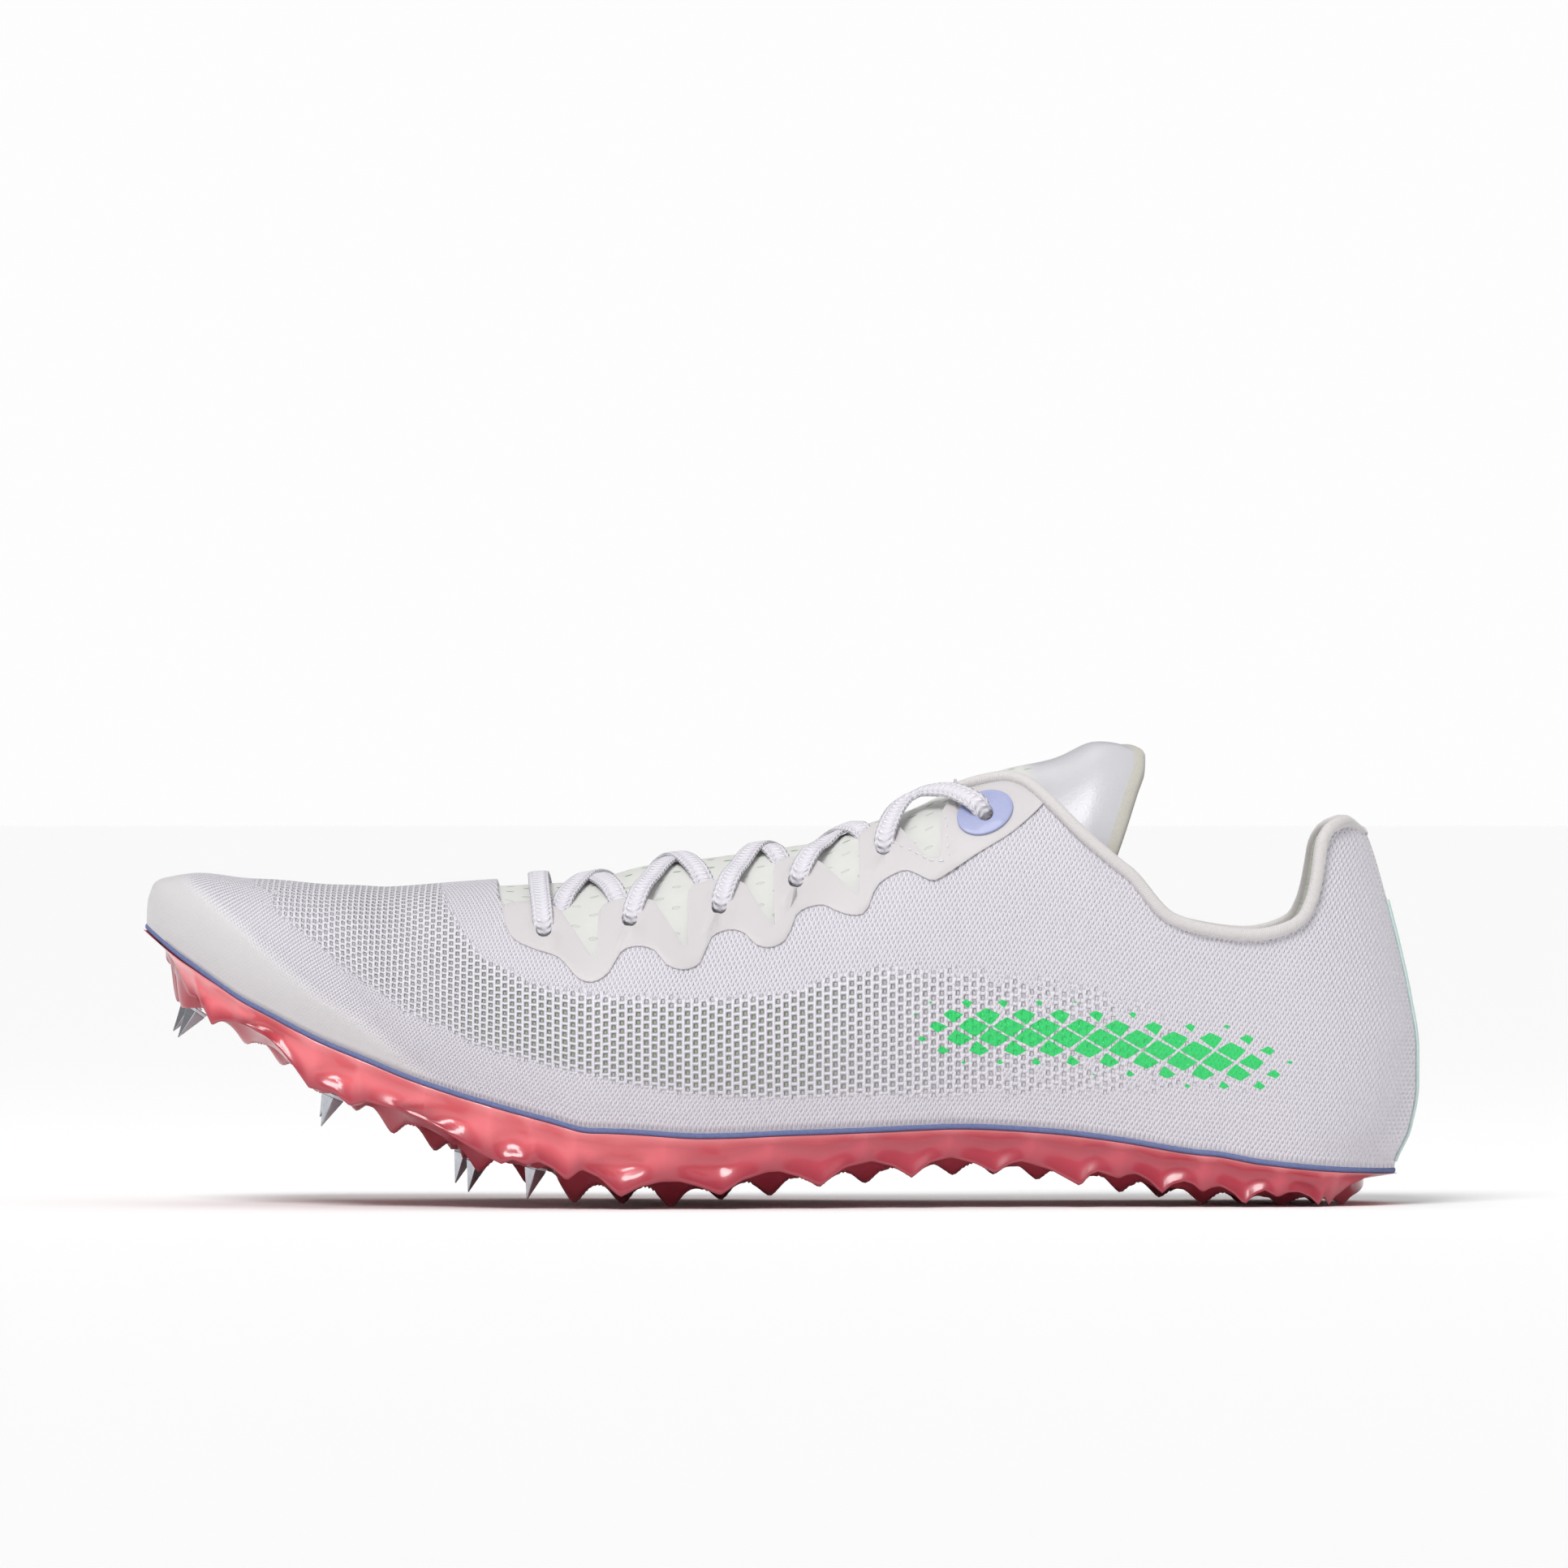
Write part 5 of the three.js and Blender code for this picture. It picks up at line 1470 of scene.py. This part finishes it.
def makeLaces():
    lifts = [(0, -1.6), (.04, .6), (.09, lace["over"]), (.3, 0.9), (.5, .8), (.7, 0.9),
             (.91, lace["over"]), (.96, .6), (1, -1.6)]
    bar = strandFrames(eyeletPlace(0, -1), eyeletPlace(0, 1), lifts, lace["barSteps"], lace["bow"])
    makeLace("laceBar", bar, ["lace_run_1"])
    for number in range(4):
        for facing, frames in makeCrossing(number):
            name = f"laceCross{number + 1}{'Outer' if facing < 0 else 'Inner'}"
            makeLace(name, frames, [f"lace_run_{number + 2}"] if facing < 0 else [])
    line = smoothLine(lace["topRoute"], lace["topStep"])
    for facing, name, node in ((-1, "laceTopOuter", "lace_run_6"), (1, "laceTopInner", "lace_run_7")):
        places = [(*formSteps(spot.x, spot.y), spot.z) for spot in line]
        frames = [frameAt(at, acrossOf(facing, min(height, lace["crown"])), lift)
                  for at, height, lift in places]
        makeLace(name, frames, [node])


makeLaces()
print("laces made")

stitches = {"length": 1.5, "width": 0.45, "pitch": 2.0, "lift": 0.05,
            "lines": [[(1100, 1038), (1126, 1050), (1151, 1062), (1166, 1060)], [(1164, 1006), (1168, 1058)]]}


def makeStitches():
    bm = bmesh.new()
    for facing in (-1, 1):
        for rows in stitches["lines"]:
            line = smoothLine(sidePoints(rows), stitches["pitch"])
            for first, second in zip(line, line[1:]):
                middle, way = (first + second) / 2, second - first
                at, height = formPlace(middle.x, middle.y)
                point, normal = skinFrame(at, acrossOf(facing, height))
                along = Vector((way.x, 0, way.y)).normalized()
                made = bmesh.ops.create_icosphere(bm, subdivisions=1, radius=0.5)["verts"]
                size = (stitches["length"], stitches["width"], stitches["width"])
                bmesh.ops.scale(bm, vec=size, verts=made)
                turn = Vector((1, 0, 0)).rotation_difference(along)
                bmesh.ops.rotate(bm, cent=(0, 0, 0), matrix=turn.to_matrix(), verts=made)
                lift = film["lift"] + film["thickness"] + stitches["lift"]
                bmesh.ops.translate(bm, vec=point + normal * lift, verts=made)
    return makePiece("throatStitches", bm, [paints["thread"]])


makeStitches()
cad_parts["insole"].material_slots[0].material = paints["insole"]
print("stitches made")


# Floor, light and camera

studio = {"distance": 3000.0, "frameWidth": 348.5, "middle": (142.2, 93.3), "sensor": 36.0,
          "horizon": 0.985, "side": 0.2, "overhead": 0.78, "lowBand": (0.12, 0.25), "highBand": (0.5, 0.85),
          "floorSize": 60.0, "floorTone": (249, 249, 249)}
keyLight = {"place": (-0.35, -0.8, 1.1), "strength": 2.0, "angle": 25}
topLight = {"place": (-0.2, 0.3, 1.1), "target": (0, 0, 0.04), "size": (0.5, 0.4), "power": 0.9}


def makeStage():
    bm = bmesh.new()
    bmesh.ops.create_grid(bm, x_segments=1, y_segments=1, size=studio["floorSize"])
    mesh = bpy.data.meshes.new("floor")
    bm.to_mesh(mesh)
    bm.free()
    floor = bpy.data.objects.new("floor", mesh)
    scene.collection.objects.link(floor)
    paint = Paint("paleFloor", Roughness=0.9)
    paint.shader.inputs["Base Color"].default_value = tone(*studio["floorTone"])
    mesh.materials.append(paint.material)


def makeLight(name, place, target, size, power):
    data = bpy.data.lights.new(name, "AREA")
    data.shape = "RECTANGLE"
    data.size, data.size_y = size
    data.energy = power
    light = bpy.data.objects.new(name, data)
    light.location = place
    light.rotation_euler = (Vector(target) - Vector(place)).to_track_quat("-Z", "Y").to_euler()
    scene.collection.objects.link(light)


def makeSun(name, place, strength, angle):
    data = bpy.data.lights.new(name, "SUN")
    data.energy = strength
    data.angle = math.radians(angle)
    light = bpy.data.objects.new(name, data)
    light.rotation_euler = Vector(place).to_track_quat("Z", "Y").to_euler()
    scene.collection.objects.link(light)


def makeCamera():
    x, z = studio["middle"]
    data = bpy.data.cameras.new("camera")
    data.sensor_width = studio["sensor"]
    data.lens = studio["sensor"] * studio["distance"] / studio["frameWidth"]
    data.clip_end = 30
    camera = bpy.data.objects.new("camera", data)
    camera.location = ((x - length / 2 + form["shiftX"]) / 1000, -studio["distance"] / 1000, z / 1000)
    camera.rotation_euler = (math.pi / 2, 0, 0)
    scene.collection.objects.link(camera)
    scene.camera = camera


def makeWorld():
    world = bpy.data.worlds.new("studio")
    world.use_nodes = True
    nodes = Nodes(world.node_tree)
    _, _, up = nodes.split(nodes.add("ShaderNodeTexCoord"))
    strength = (studio["horizon"] + (studio["side"] - studio["horizon"]) * up.ramp(*studio["lowBand"])
                + (studio["overhead"] - studio["side"]) * up.ramp(*studio["highBand"]))
    background = world.node_tree.nodes["Background"]
    world.node_tree.links.new(strength.socket, background.inputs["Strength"])
    background.inputs["Color"].default_value = (1, 1, 1, 1)
    scene.world = world
    scene.view_settings.view_transform = "Standard"


makeStage()
makeWorld()
makeSun("key", **keyLight)
makeLight("top", **topLight)
makeCamera()
print("studio made")
